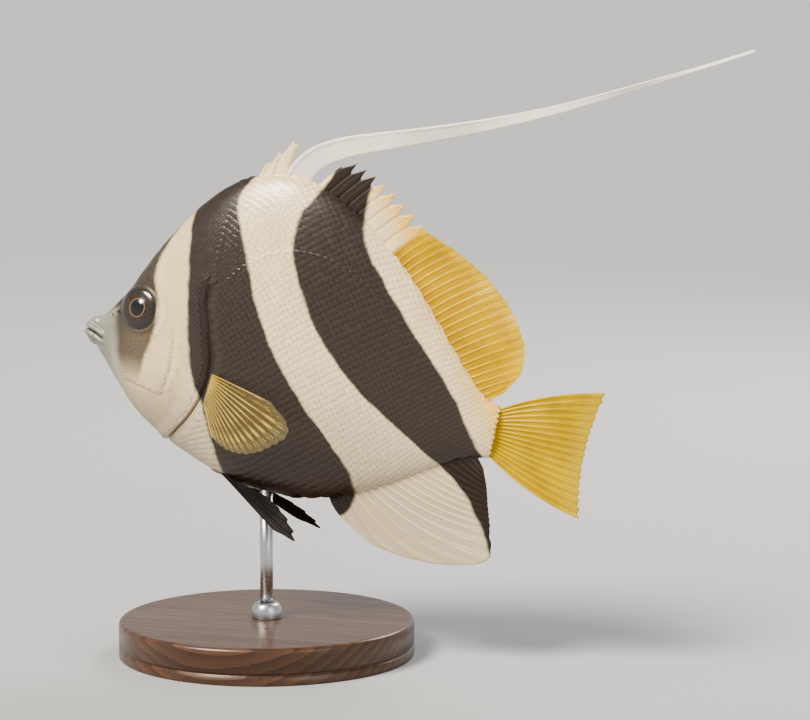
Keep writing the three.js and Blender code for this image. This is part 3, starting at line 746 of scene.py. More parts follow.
scaleCoat = {
    "bodyPitch": 2.45,      # between roots along a row, mm
    "rowPitch": 1.24,       # between neighbouring rows, which are set half a step apart, mm
    "cover": 1.78,          # length of a plate over the pitch
    "breadth": 1.14,
    "rise": 0.13,           # how far the free edge stands over the skin, mm
    "sink": 0.11,           # how deep the root lies in it, mm
    "thickness": 0.3,
    "body": (0.2, 0.995), "head": (0.085, 0.35),  # where the rows start and end, before they are cut back
    "headShare": 0.6,       # size of the scales on the cheek against the body's
    "behindGill": 0.017, "beforeGill": 0.018,     # bare skin behind and before the gill opening
    "coatsMeet": 0.004,     # how far before its line the two coats meet, above and below it
    "pectoral": ((0.34, 0.372), (-0.1, -0.012)),  # x and z of the bare root of the pectoral fin
    "offEye": 0.058, "offNostril": 0.012,
    "offCheekEdge": 1.3, "offCheekFloor": 1.0,    # bare skin on each side of the bent bone's edges, mm
    "patch": 0.003,         # width of a plate in the bake map
    "bodySeed": 3, "headSeed": 5, "snoutSeed": 7, "toneSeed": 11,
}
lateralLine = {
    "shape": (0.58, 0.35, 0.76),  # length, breadth and height of a tube against a scale's
    "lift": 0.145,                # mm over the skin
    "tubes": 44,
    "path": [
        (0.338, 0.205), (0.37, 0.243), (0.42, 0.281), (0.49, 0.302), (0.57, 0.297), (0.65, 0.264),
        (0.73, 0.21), (0.8, 0.15), (0.86, 0.098), (0.92, 0.05),
    ],
}


def gridFaces(rows, columns):
    # the faces of a grid of points, and the points round its border
    at = np.arange(rows * columns).reshape(rows, columns)
    faces = np.stack([at[:-1, :-1], at[1:, :-1], at[1:, 1:], at[:-1, 1:]], -1).reshape(-1, 4)
    return faces, np.concatenate([at[:-1, 0], at[-1, :-1], at[:0:-1, -1], at[0, :0:-1]])


def scalePlate():
    # the plate that every root gets: a crowned shield, closed below
    rows, columns = 5, 4
    points, rim, patch = [], [], []
    for i in range(rows + 1):
        for j in range(columns + 1):
            u, v = i / rows, 2 * j / columns - 1
            width = 0.5 * (0.82 + 0.18 * math.sin(math.pi * u))
            crown = 0.42 * (1 - 0.9 * v * v) * (1 - 0.7 * (2 * u - 1) ** 2)
            points.append((mix(0.03 * v * v, 1 - 0.36 * v * v, u), v * width, crown))
            rim.append(max(u**3, abs(v) ** 3 * (0.4 + 0.6 * u)))
            patch.append((u, j / columns, 0.0))
    faces, border = gridFaces(rows + 1, columns + 1)
    border = np.roll(border[::-1], 1).tolist()
    edges = list(zip(border, border[1:] + border[:1]))
    faces = faces.tolist() + [(a, b, len(points)) for a, b in edges]
    mesh = bpy.data.meshes.new("scalePlate")
    mesh.from_pydata(points + [(0.5, 0, -0.35)], [], faces)
    faceOut(mesh)
    mesh.shade_smooth()
    edges = {frozenset(edge) for edge in edges}
    crisp = mesh.attributes.new("sharp_edge", "BOOLEAN", "EDGE")
    crisp.data.foreach_set("value", [frozenset(edge.vertices) in edges for edge in mesh.edges])
    pointLayer(mesh, "rim", rim + [0.5])
    pointLayer(mesh, "patchPlace", patch + [(0.5, 0.5, 0.0)])
    return put("scalePlate", mesh)


def scaleSetter():
    # a plate on each root, turned to its lie, with its own tone and bake patch
    inputs = {"Plate": "Object", "Patch Size": "Float", "Seed": "Int", "Finish": "Material"}
    tree, given = geometryTree("set scales", inputs)

    def named(name):
        node = addNode(tree, "GeometryNodeInputNamedAttribute", {"Name": name}, data_type="FLOAT_VECTOR")
        return node.outputs["Attribute"]

    def vectors(operation, inputs):
        return addNode(tree, "ShaderNodeVectorMath", inputs, operation=operation).outputs[0]

    def store(geometry, name, value, **kind):
        inputs = {"Geometry": geometry, "Name": name, "Value": value}
        return addNode(tree, "GeometryNodeStoreNamedAttribute", inputs, **kind).outputs[0]

    plate = addNode(tree, "GeometryNodeObjectInfo", {"Object": given["Plate"]}).outputs["Geometry"]
    lie = {0: named("out"), 1: named("lie")}
    turn = addNode(tree, "FunctionNodeAxesToRotation", lie, primary_axis="Z", secondary_axis="X").outputs[0]
    roots = addNode(tree, "GeometryNodeMeshToPoints", {"Mesh": given["Geometry"]}).outputs[0]
    inputs = {"Points": roots, "Instance": plate, "Rotation": turn, "Scale": named("size")}
    placed = addNode(tree, "GeometryNodeInstanceOnPoints", inputs).outputs[0]
    tone = addNode(tree, "FunctionNodeRandomValue", {"Seed": given["Seed"]}, data_type="FLOAT").outputs[1]
    toned = store(placed, "tone", tone, data_type="FLOAT", domain="INSTANCE")
    real = addNode(tree, "GeometryNodeRealizeInstances", {0: toned}).outputs[0]
    patch = vectors("SUBTRACT", {0: named("patchPlace"), 1: (0.5, 0.5, 0)})
    patch = vectors("SCALE", {0: patch, "Scale": given["Patch Size"]})
    patch = vectors("ADD", {0: named("rootPlace"), 1: patch})
    mapped = store(real, "OFBake", patch, data_type="FLOAT2", domain="CORNER")
    return finishTree(tree, mapped, given["Finish"])


def outward(surface, x, turn, side, near):
    # the way out of the flank at each point, and the way along the fish
    along = surface(x + near, turn, side) - surface(x - near, turn, side)
    around = surface(x, turn + near, side) - surface(x, turn - near, side)
    out = unit(np.cross(along, around))
    return out * np.sign(out[..., 1:2] * side + 1e-9), along


def raisedFlank(x, turn, side):
    # the flank with the head's relief on it, mm
    place = flank(x, turn, side)
    out = outward(flank, x, turn, side, 0.002)[0]
    return place + out * headRelief(place[..., 0] / size, place[..., 2] / size)[..., None]


def scaleCoatPiece(name, x, turn, side, sizes, shape=(1.0, 1.0, 1.0), lift=0.0):
    # one plate at each (x, turn) of the loft; shape is its length, breadth and height against a scale's
    out, along = outward(raisedFlank, x, turn, side, 0.003)
    # rows run level on the side, not along the loft's lines
    lie = mix(np.array([1.0, 0.0, 0.0]), unit(along), 0.35)
    lie = unit(lie - out * np.sum(lie * out, axis=1, keepdims=True))
    length = scaleCoat["bodyPitch"] * scaleCoat["cover"] * sizes * shape[0]
    breadth = scaleCoat["rowPitch"] * 2 * scaleCoat["breadth"] * sizes * shape[1]
    thick = scaleCoat["thickness"] * sizes**0.8 * shape[2]
    low = scaleCoat["sink"] * sizes**0.8
    tilt = (scaleCoat["rise"] * sizes + low) / length
    cosTilt, sinTilt = np.cos(tilt)[:, None], np.sin(tilt)[:, None]
    root = raisedFlank(x, turn, side) + out * (lift - low)[:, None] - lie * (0.4 * length)[:, None]
    # the flanks side by side in the bake map
    u = 0.01 + 0.47 * x + (0.5 if side > 0 else 0.0)
    v = 0.02 + 0.96 * (turn / math.pi + 0.5) + (0.001 if lift else 0.0)
    mesh = bpy.data.meshes.new(name + "Roots")
    mesh.from_pydata(toPart(root).tolist(), [], [])
    pointLayer(mesh, "out", turnToPart(out * cosTilt - lie * sinTilt))
    pointLayer(mesh, "lie", turnToPart(lie * cosTilt + out * sinTilt))
    pointLayer(mesh, "size", np.stack([length, breadth, thick], 1) / 1000)
    pointLayer(mesh, "rootPlace", np.stack([u, v, np.zeros_like(u)], 1))
    inputs = {"Plate": plate, "Finish": scaleLook}
    inputs |= {"Patch Size": scaleCoat["patch"], "Seed": scaleCoat["toneSeed"]}
    declare(runNodes(name, put(name + "Roots", mesh), scaleTree, inputs), "skin")


def arcOf(line):
    # lengths along a line of points
    return np.concatenate([[0], np.cumsum(np.linalg.norm(np.diff(line, axis=0), axis=1))])


def throughPoints(points, count):
    # a centripetal curve through the points, cut into equal lengths
    p = np.array(points, float)
    p = np.concatenate([[2 * p[0] - p[1]], p, [2 * p[-1] - p[-2]]])
    dense = []
    for a, b, c, d in zip(p, p[1:], p[2:], p[3:]):
        t = np.cumsum([0] + [np.linalg.norm(q - r) ** 0.5 for q, r in ((b, a), (c, b), (d, c))])
        for s in np.linspace(t[1], t[2], 40, endpoint=False):
            ab = mix(a, b, (s - t[0]) / (t[1] - t[0]))
            bc = mix(b, c, (s - t[1]) / (t[2] - t[1]))
            cd = mix(c, d, (s - t[2]) / (t[3] - t[2]))
            abc = mix(ab, bc, (s - t[0]) / (t[2] - t[0]))
            bcd = mix(bc, cd, (s - t[1]) / (t[3] - t[1]))
            dense.append(mix(abc, bcd, (s - t[1]) / (t[2] - t[1])))
    dense = np.array(dense + [p[-2]])
    arc = arcOf(dense)
    places = np.linspace(0, arc[-1], count)
    return np.stack([np.interp(places, arc, dense[:, i]) for i in range(dense.shape[1])], -1)


def scaleSize(x):
    # scales are largest on the mid flank, small on the nape, breast and tail stalk
    return mix(0.72, 1.0, step(0.24, 0.46, x)) * mix(1.0, 0.66, step(0.6, 1.0, x))


def headScaleSize(x):
    return scaleCoat["headShare"] * mix(0.8, 1.0, step(0.1, 0.2, x))


def rowsOver(reach, sizeAt, side, seed):
    # walks along the fish in steps of half a scale, and up and down from the middle level by rows
    draw = np.random.default_rng(seed)
    turnTable = np.linspace(-math.pi / 2, math.pi / 2, 241)
    xs, turns, sizes = [], [], []
    x, column = reach[0], 0
    while x < reach[1]:
        share = float(sizeAt(x))
        arc = arcOf(flank(np.full(turnTable.shape, x), turnTable, side))
        middle = np.interp(0.0, turnTable, arc)
        row = 2 * scaleCoat["rowPitch"] * share
        numbers = np.arange(math.ceil((0.4 - middle) / row), int((arc[-1] - middle) / row) + 1)
        heights = middle + row * (numbers + (0.5 if column % 2 else 0.0))
        heights = heights[(heights > 0.5) & (heights < arc[-1] - 0.5)]
        count = len(heights)
        heights = heights + draw.normal(0, 0.035, count) * row
        xs.append(np.full(count, x) + draw.normal(0, 0.03, count) * share * scaleCoat["bodyPitch"] / size)
        turns.append(np.interp(heights, arc, turnTable))
        sizes.append(np.full(count, share) * draw.uniform(0.94, 1.06, count))
        x += scaleCoat["bodyPitch"] * share / 2 / size
        column += 1
    x, turn = np.concatenate(xs), np.concatenate(turns)
    return x, turn, np.concatenate(sizes), flank(x, turn, side)[:, 2] / size


def buildScales(side, word):
    (rootFrom, rootTo), (rootLow, rootHigh) = scaleCoat["pectoral"]
    x, turn, sizes, z = rowsOver(scaleCoat["body"], scaleSize, side, scaleCoat["bodySeed"])
    atGill = (z > -0.24) & (z < 0.19)
    keep = x > gillX(z) + np.where(atGill, scaleCoat["behindGill"], -scaleCoat["coatsMeet"])
    keep &= ~((x > rootFrom) & (x < rootTo) & (z > rootLow) & (z < rootHigh))
    scaleCoatPiece("scales_body_" + word, x[keep], turn[keep], side, sizes[keep])
    x, turn, sizes, z = rowsOver(scaleCoat["head"], headScaleSize, side, scaleCoat["headSeed"])
    atGill = (z > -0.24) & (z < 0.19)
    keep = x < gillX(z) - np.where(atGill, scaleCoat["beforeGill"], scaleCoat["coatsMeet"])
    keep &= np.hypot(x - eyeShape["x"], z - eyeShape["z"]) > scaleCoat["offEye"]
    # they end unevenly towards the snout
    draw = np.random.default_rng(scaleCoat["snoutSeed"])
    keep &= x > 0.098 + 0.03 * draw.random(len(x)) + 0.016 * step(-0.09, -0.03, z)
    # the plates stop short of the bent bone's edge
    upright = np.abs((x - cheekEdge(z)) * size) < scaleCoat["offCheekEdge"]
    level = np.abs((z - cheekFloor(x)) * size + 0.3) < scaleCoat["offCheekFloor"]
    keep &= ~(upright & (z > -0.085) & (z < 0.07)) & ~(level & (x > 0.125) & (x < 0.215))
    for pitX, pitZ, radius in nostrilPits:
        keep &= np.hypot(x - pitX, z - pitZ) > radius + scaleCoat["offNostril"]
    sizes = sizes * mix(0.72, 1.0, step(0.1, 0.2, x))
    scaleCoatPiece("scales_head_" + word, x[keep], turn[keep], side, sizes[keep], (1.0, 1.0, 0.9))
    # the lateral line: a small tube on every scale along its high arch
    x, z = throughPoints(lateralLine["path"], lateralLine["tubes"]).T
    shape, lift = lateralLine["shape"], lateralLine["lift"]
    scaleCoatPiece("scales_line_" + word, x, turnAtHeight(x, z), side, scaleSize(x), shape, lift)


plate, scaleTree = scalePlate(), scaleSetter()
for side, word in flanks:
    buildScales(side, word)
bpy.data.objects.remove(plate)
print("scales made")


# Fins: one closed sheet each, with the rays raised in it.

rootSink = 0.012  # how deep the fins' roots lie in the body
softFin = {
    "rows": 64, "columns": 12,    # points along a ray, and from one ray to the next
    "packing": 1.0,               # over 1, the columns crowd at the rays
    "membrane": 0.17,             # half thickness, mm
    "crest": (0.32, 0.09),        # how far a ray stands over it at root and tip, mm
    "rayWidth": (0.36, 0.17),     # half width of a ray at root and tip, mm
    "notch": 0.014,               # how far the membrane falls short between the rays
    "notchPower": 1.0,
    "fork": 0.3, "forkTwo": 0.62,  # where along a ray it branches, and its branches again
    "spread": 0.2, "spreadTwo": 0.1,  # how far the branches part, in steps from ray to ray
    "fray": 0.012, "seed": 1,     # how unevenly the rays end
    "ripple": 0.0,                # mm
}
spinyFin = {
    # a fork past 1.15 parts a spine from its root on, which makes it broad
    **softFin, "rows": 56, "columns": 18, "packing": 1.7, "membrane": 0.18, "crest": (0.5, 0.12),
    "rayWidth": (0.75, 0.28), "notch": 0.26, "notchPower": 0.7, "fork": 2.0, "forkTwo": 2.0, "fray": 0.0,
}


def rootLine(edge, sink, start, end):
    # a fin's root along the back or the belly
    return lambda t: (mix(start, end, t), edge(mix(start, end, t)) + sink)


def fan(rays, root, tip, bow=lambda t: 0 * t, sway=lambda t: 0 * t):
    # rays in the mid-plane, in mm: ray(k, v) for arrays of ray number and share of its length
    tip = np.array(tip, float)
    tipX, tipZ = smooth(tip[:, :2]), smooth(tip[:, ::2])

    def ray(k, v):
        t = k / (rays - 1)
        rootX, rootZ = root(t)
        overX, overZ = tipX(t) - rootX, tipZ(t) - rootZ
        bend = bow(t) * 4 * v * (1 - v)
        x = rootX + overX * v - overZ * bend
        return np.stack([x, sway(t) * v * v, rootZ + overZ * v + overX * bend], -1) * size
    return ray, rays


def sideFan(side, rays, rootFrom, rootTo, first, last, lengths, droop):
    # rays that stand out from the flank, from the way of the first to the way of the last
    reach = smooth(lengths)

    def ray(k, v):
        t = k / (rays - 1)
        root = flankAt(mix(rootFrom[0], rootTo[0], t), mix(rootFrom[1], rootTo[1], t), side)
        way = unit(np.stack([mix(a, b, t) for a, b in zip(first, last)], -1)) * (1, side, 1)
        far = reach(t)[..., None] * size
        v = v[..., None]
        bend = np.array([0, side * droop[0], droop[1]]) * far * v * v
        return root - way * rootSink * size + way * far * v + bend
    return ray, rays


def sheetPiece(name, middle, half, look, slot, node, ray, along):
    # a closed sheet about a grid of middle points, half its thickness to each side
    out = unit(np.cross(np.gradient(middle, axis=0), np.gradient(middle, axis=1))) * half[..., None]
    points = np.concatenate([(middle + out).reshape(-1, 3), (middle - out).reshape(-1, 3)])
    faces, border = gridFaces(*half.shape)
    count, after = half.size, np.roll(border, -1)
    wall = np.stack([border, border + count, after + count, after], -1)
    faces = np.concatenate([faces, faces[:, ::-1] + count, wall]).tolist()
    layers = {"ray": np.tile(ray.ravel(), 2), "along": np.tile(along.ravel(), 2)}
    meshPiece(name, points, faces, look, slot, node, **layers)


def finPiece(name, look, slot, node, fin, detail, before=0.14, after=0.14):
    # before and after: how far the membrane goes on past the first and the last ray
    ray, rays = fin
    offsets = np.linspace(-0.5, 0.5, detail["columns"], endpoint=False)
    offsets = np.sign(offsets) * 0.5 * (np.abs(offsets) * 2) ** detail["packing"]
    across = np.concatenate([k + offsets for k in range(rays)])
    across = across[(across >= 0) & (across <= rays - 1)]
    margin = np.array([0.35, 0.7, 1])
    across = np.concatenate([-before * margin[::-1], across, rays - 1 + after * margin])
    along = np.linspace(0, 1, detail["rows"] + 1)
    off = across - np.clip(np.round(across), 0, rays - 1)
    ends = np.random.default_rng(detail["seed"]).uniform(0, detail["fray"], rays + 2)
    notch = detail["notch"] * step(0.0, 1.0, np.abs(off) * 2) ** detail["notchPower"]
    reach = 1 - notch - np.interp(across, np.arange(-1, rays + 1), ends)
    place, share = np.meshgrid(across, along, indexing="ij")
    share = share * reach[:, None]
    inside = np.clip(place, 0, rays - 1)
    middle = ray(inside, share)
    beyond = (place - inside)[..., None]
    near = 0.04
    lean = np.where(beyond < 0, ray(inside + near, share) - middle, middle - ray(inside - near, share)) / near
    middle = middle + lean * beyond
    gap = ray(np.minimum(inside + 0.5, rays - 1), share) - ray(np.maximum(inside - 0.5, 0), share)
    spacing = np.maximum(np.linalg.norm(gap, axis=-1), 0.15)
    wide, tall = mix(*detail["rayWidth"], share), mix(*detail["crest"], share**0.7)
    fork = detail["spread"] * step(detail["fork"], 1.15, share)
    forkTwo = detail["spreadTwo"] * step(detail["forkTwo"], 1.1, share)
    crest = np.zeros_like(place)
    for a, b in ((1, 1), (1, -1), (-1, 1), (-1, -1)):
        away = (off[:, None] - a * fork - b * forkTwo) * spacing
        crest = np.maximum(crest, np.sqrt(np.maximum(1 - (away / wide) ** 2, 0)))
    half = detail["membrane"] * mix(1.0, 0.6, share) + crest * tall
    half = half * np.minimum(1, 0.25 + 12 * (1 - along))
    half[[0, -1]] *= 0.25
    middle[..., 1] += detail["ripple"] * np.sin(place * 1.3 + 4 * share) * share**2
    sheetPiece(name, middle, half, look, slot, node, crest, share)


# tip: [ray's place from first to last, x, z]
frontSpines = {
    "rays": 3, "root": rootLine(backZ, -rootSink, 0.334, 0.382),
    "tip": [(0, 0.352, 0.472), (0.5, 0.376, 0.502), (1, 0.404, 0.537)],
    "bow": lambda t: 0.03 + 0 * t,
}
hindSpines = {
    "rays": 8, "root": rootLine(backZ, -rootSink, 0.49, 0.668),
    "tip": [(0, 0.56, 0.516), (0.35, 0.622, 0.494), (0.7, 0.688, 0.456), (1, 0.744, 0.416)],
    "bow": lambda t: 0.03 + 0 * t,
}
softRays = {
    "rays": 24, "root": rootLine(backZ, -rootSink, 0.684, 0.962),
    "tip": [
        (0, 0.754, 0.407), (0.25, 0.862, 0.36), (0.5, 0.956, 0.3), (0.72, 1.022, 0.226),
        (0.88, 1.038, 0.157), (1, 1.012, 0.106),
    ],
    "bow": lambda t: 0.05 * (1 - t),
    "sway": lambda t: 0.02 * np.sin(5 * t) * np.minimum(1, 6 * t),
}
analRays = {
    "rays": 20, "root": rootLine(bellyZ, rootSink, 0.65, 0.962),
    "tip": [
        (0, 0.702, -0.284), (0.055, 0.768, -0.318), (0.11, 0.852, -0.33), (0.17, 0.95, -0.322),
        (0.24, 1.042, -0.29), (0.36, 1.036, -0.226), (0.6, 1.02, -0.166), (0.82, 1.008, -0.118),
        (1, 0.996, -0.085),
    ],
    "bow": lambda t: -0.1 * (1 - t),
    "sway": lambda t: 0.012 * np.sin(4 * t),
}
tailRays = {
    "rays": 17, "root": lambda t: (0.99 + 0 * t, mix(0.05, -0.045, t)),
    "tip": [
        (0, 1.225, 0.146), (0.2, 1.214, 0.084), (0.5, 1.208, 0.002), (0.8, 1.214, -0.08), (1, 1.225, -0.14),
    ],
    "bow": lambda t: 0.05 * (1 - 2 * t),
    "sway": lambda t: 0.022 + 0 * t,
}
pectoral = {
    "rays": 15, "rootFrom": (0.352, -0.018), "rootTo": (0.338, -0.092),
    "first": (0.92, 0.38, -0.06), "last": (0.52, 0.34, -0.78),
    "lengths": [(0, 0.2), (0.13, 0.268), (0.32, 0.248), (0.65, 0.18), (1, 0.09)], "droop": (-0.06, -0.03),
}
pelvic = {
    "rays": 6, "rootFrom": (0.392, -0.2475), "rootTo": (0.415, -0.2585),
    "first": (0.84, 0.36, -0.42), "last": (0.95, 0.24, -0.16),
    "lengths": [(0, 0.225), (0.2, 0.27), (0.5, 0.225), (1, 0.12)], "droop": (-0.05, 0.02),
}
pairedFin = {**softFin, "rows": 52}
pectoralFin = {**pairedFin, "columns": 14, "crest": (0.24, 0.07), "membrane": 0.12, "rayWidth": (0.2, 0.12)}
pelvicFin = {**pairedFin, "columns": 16, "crest": (0.5, 0.1), "rayWidth": (0.5, 0.18), "notch": 0.05}


def buildFins():
    finPiece("dorsal_front", bandedFinLook, "white_fin", "dorsal_fin_front_spines", fan(**frontSpines),
             {**spinyFin, "columns": 24}, after=0.9)
    finPiece("dorsal_hind", bandedFinLook, "black_fin", "dorsal_fin_hind_spines", fan(**hindSpines),
             spinyFin, before=0.6, after=0.5)
    finPiece("dorsal_soft", dorsalLook, "yellow_fin", "dorsal_fin_soft", fan(**softRays),
             {**softFin, "ripple": 0.25}, before=0.62)
    finPiece("anal", bandedFinLook, "white_fin", "anal_fin", fan(**analRays),
             {**softFin, "notch": 0.006, "fray": 0.005})
    finPiece("tail", tailLook, "yellow_fin", "tail_fin", fan(**tailRays),
             {**softFin, "fork": 0.22, "forkTwo": 0.5})
    for side, word in flanks:
        finPiece("pectoral_" + word, pectoralLook, "yellow_fin", "pectoral_fin_" + word,
                 sideFan(side, **pectoral), pectoralFin)
        finPiece("pelvic_" + word, blackFinLook, "black_fin", "pelvic_fin_" + word,
                 sideFan(side, **pelvic), pelvicFin)


buildFins()
print("fins made")


# The banner: the fourth dorsal spine, drawn out into a tapering ribbon.

banner = {
    "width": 0.06, "endWidth": 0.006,
    "drift": 0.05,              # how far it swings to the side
    "flutter": 0.9,             # mm
    "rows": 300, "columns": 16,
    "spine": (0.72, 0.16), "membrane": (0.2, 0.12),  # half thickness at root and tip, mm
    "path": [
        (0.397, 0.43), (0.416, 0.485), (0.452, 0.528), (0.512, 0.563), (0.6, 0.595), (0.72, 0.636),
        (0.85, 0.685), (0.98, 0.741), (1.1, 0.801), (1.21, 0.858), (1.3, 0.905), (1.385, 0.952),
    ],
}


def buildBanner():
    line = throughPoints(banner["path"], banner["rows"] + 1) * size
    way = unit(np.gradient(line, axis=0))
    share = np.concatenate([[-0.1, -0.05], np.linspace(0, 1, banner["columns"]) ** 1.25])
    share, along = np.meshgrid(share, np.linspace(0, 1, banner["rows"] + 1), indexing="ij")
    width = mix(banner["endWidth"], banner["width"], (1 - along) ** 1.7) * size
    spine = mix(*banner["spine"], along**0.6)
    across = np.where(share < 0, share * 7 * spine, share * width)
    drift = banner["drift"] * size * np.sin(math.pi * along) * along
    flutter = banner["flutter"] * np.sin(17 * along + 1.5) * share
    flutter *= np.minimum(1, 4 * along) * (1 - 0.5 * along)
    x, z = line[:, 0] + way[:, 1] * across, line[:, 1] - way[:, 0] * across
    crest = np.sqrt(np.maximum(1 - (across / (1.5 * spine)) ** 2, 0))
    streak = 0.35 * np.maximum(0, np.cos(share * 2 * math.pi * 6)) * step(0.18, 0.3, share)
    half = np.maximum(spine * crest, mix(*banner["membrane"], along) * (1 + 0.5 * streak))
    half[0] *= 0.3
    half[-1] *= 0.4
    half *= np.minimum(1, 0.2 + 30 * (1 - along))
    middle, ray = np.stack([x, drift + flutter, z], -1), np.maximum(crest, streak)
    sheetPiece("banner", middle, half, bannerLook, "white_fin", "dorsal_fin_banner", ray, along)


buildBanner()


# Spines: stiff needles that stand in the front of the fins, swept by Geometry Nodes along their paths.

spineRods = {
    "root": 0.62, "tip": 0.07,              # radius, mm
    "sides": 10, "points": 26,
    "analSpines": 3, "analShare": 0.95,     # the anal fin's spines, and how thick against the others
}


def needleTree():
    tree, given = geometryTree("sweep spines", {"Sides": "Int", "Finish": "Material"})
    inputs = {"Radius": 1.0, "Resolution": given["Sides"]}
    ring = addNode(tree, "GeometryNodeCurvePrimitiveCircle", inputs, mode="RADIUS").outputs[0]
    inputs = {"Curve": given["Geometry"], "Profile Curve": ring, "Fill Caps": True}
    sweep = addNode(tree, "GeometryNodeCurveToMesh", inputs)
    if "Scale" in sweep.inputs:
        feed(tree, sweep, {"Scale": addNode(tree, "GeometryNodeInputRadius").outputs[0]})
    real = addNode(tree, "GeometryNodeRealizeInstances", {0: sweep.outputs[0]}).outputs[0]
    return finishTree(tree, real, given["Finish"])


def buildSpines():
    shares = np.linspace(0.02, 1.03, spineRods["points"])
    curve = bpy.data.curves.new("spinePaths", "CURVE")
    curve.dimensions = "3D"
    sets = [(*fan(**frontSpines), 1.0), (*fan(**hindSpines), 1.0)]
    sets.append((fan(**analRays)[0], spineRods["analSpines"], spineRods["analShare"]))
    for ray, count, stout in sets:
        for k in range(count):
            spline = curve.splines.new("POLY")
            spline.points.add(len(shares) - 1)
            path = toPart(ray(np.full(shares.shape, float(k)), shares))
            for point, place, share in zip(spline.points, path, shares):
                point.co = (*place, 1)
                point.radius = mix(spineRods["root"], spineRods["tip"], share**0.85) * stout / 1000
    inputs = {"Sides": spineRods["sides"], "Finish": bandedFinLook}
    piece = runNodes("fin_spines", put("spinePaths", curve), needleTree(), inputs)
    piece.data.shade_smooth()
    faceOut(piece.data)
    declare(piece, "black_fin")


buildSpines()


# Eyes: a domed ball set in its socket, with a bulging pupil in a dark iris ringed with gold.

eyeLook = {
    "pupil": 0.43, "bulge": 0.28, "dish": 0.12,  # the pupil's share of the eye, and heights in mm
    "rings": 72, "spokes": 96,
    "pupilColour": (0.002, 0.002, 0.003), "gold": (0.42, 0.26, 0.07), "rim": (0.02, 0.014, 0.01),
    "iris": (0.014, 0.008, 0.005), "fleck": (0.05, 0.028, 0.013),
}


def eyeMaterial():
    material, tree, shader = newMaterial("wet eye")
    radial = attribute(tree, "radial")
    iris = blend(tree, ramp(tree, objectNoise(tree, 1400, 3), 0.35, 0.65), eyeLook["iris"], eyeLook["fleck"])
    gold = times(tree, ramp(tree, radial, 0.435, 0.455), minus(tree, 1.0, ramp(tree, radial, 0.46, 0.51)))
    colour = blend(tree, times(tree, gold, 0.7), iris, eyeLook["gold"])
    colour = blend(tree, ramp(tree, radial, 0.8, 0.95), colour, eyeLook["rim"])
    feed(tree, shader, {
        "Base Color": blend(tree, ramp(tree, radial, 0.415, 0.44), eyeLook["pupilColour"], colour),
        "Roughness": 0.22, "Coat Weight": 1.0, "Coat Roughness": 0.02,
    })
    return material


def turnBy(angle, a, b):
    return a * math.cos(angle) - b * math.sin(angle), a * math.sin(angle) + b * math.cos(angle)


def buildEye(side, word, look):
    radius, depth = eyeShape["radius"] * size, eyeShape["depth"] * size
    rings = eyeLook["rings"]
    polar = np.concatenate([np.linspace(0, 0.62, rings * 2 // 3), np.linspace(0.62, 1, rings // 3 + 1)[1:]])
    around = np.linspace(0, 2 * math.pi, eyeLook["spokes"], endpoint=False)
    polar, around = np.meshgrid((polar * math.pi)[1:-1], around, indexing="ij")
    out = np.sin(polar)
    radial = np.where(polar < math.pi / 2, out * radius / (eyeShape["seen"] * size), 1.5)
    dome = eyeLook["bulge"] * np.sqrt(np.maximum(1 - (radial / eyeLook["pupil"]) ** 2, 0))
    height = np.cos(polar) * depth + dome - eyeLook["dish"] * bump(radial, 0.62, 0.18)
    ball = np.stack([out * np.cos(around) * radius, height * side, out * np.sin(around) * radius], -1)
    poles = [(0, (depth + eyeLook["bulge"]) * side, 0), (0, -depth * side, 0)]
    x, y, z = np.concatenate([ball.reshape(-1, 3), poles]).T
    y, z = turnBy(math.radians(eyeShape["lift"]) * side, y, z)
    x, y = turnBy(math.radians(eyeShape["turn"]) * side, x, y)
    sunk = (0, side * (eyeShape["depth"] - eyeShape["proud"]) * size, 0)
    points = np.stack([x, y, z], -1) + (flankAt(eyeShape["x"], eyeShape["z"], side) - sunk)
    radial = np.append(radial, (0.0, 1.5))
    meshPiece("eyeball_" + word, points, tubeFaces(*polar.shape), look, "eye", "eye_" + word, radial=radial)


wetEye = eyeMaterial()
for side, word in flanks:
    buildEye(side, word, wetEye)
print("eyes made")


# The stand: a turned wooden base, a satin steel rod and its collar.

standShape = {
    # mm
    "radius": 45.0, "height": 11.0, "foot": 0.5, "edge": 1.6,
    "grooveFrom": 2.6, "grooveWidth": 1.2, "grooveDepth": 0.5,
    "rod": 2.0, "socket": 4.0, "intoBelly": 0.6,
    "collar": 4.6, "collarHeight": 5.0,
    "segments": 160, "rodSegments": 64, "collarSegments": 80,
}
woodFinish = {
    "turn": (0.9, 0.04, 0.12), "stretch": (22, 190, 190),  # how the grain lies
    "dark": (0.045, 0.021, 0.01), "light": (0.12, 0.056, 0.025), "cloud": (0.065, 0.03, 0.014),
    "pore": (0.02, 0.01, 0.006),
    "rough": (0.3, 0.42), "coat": 0.25, "coatRough": 0.2,
}
steelFinish = {"dark": (0.5, 0.5, 0.51), "light": (0.62, 0.62, 0.63), "rough": (0.24, 0.38)}


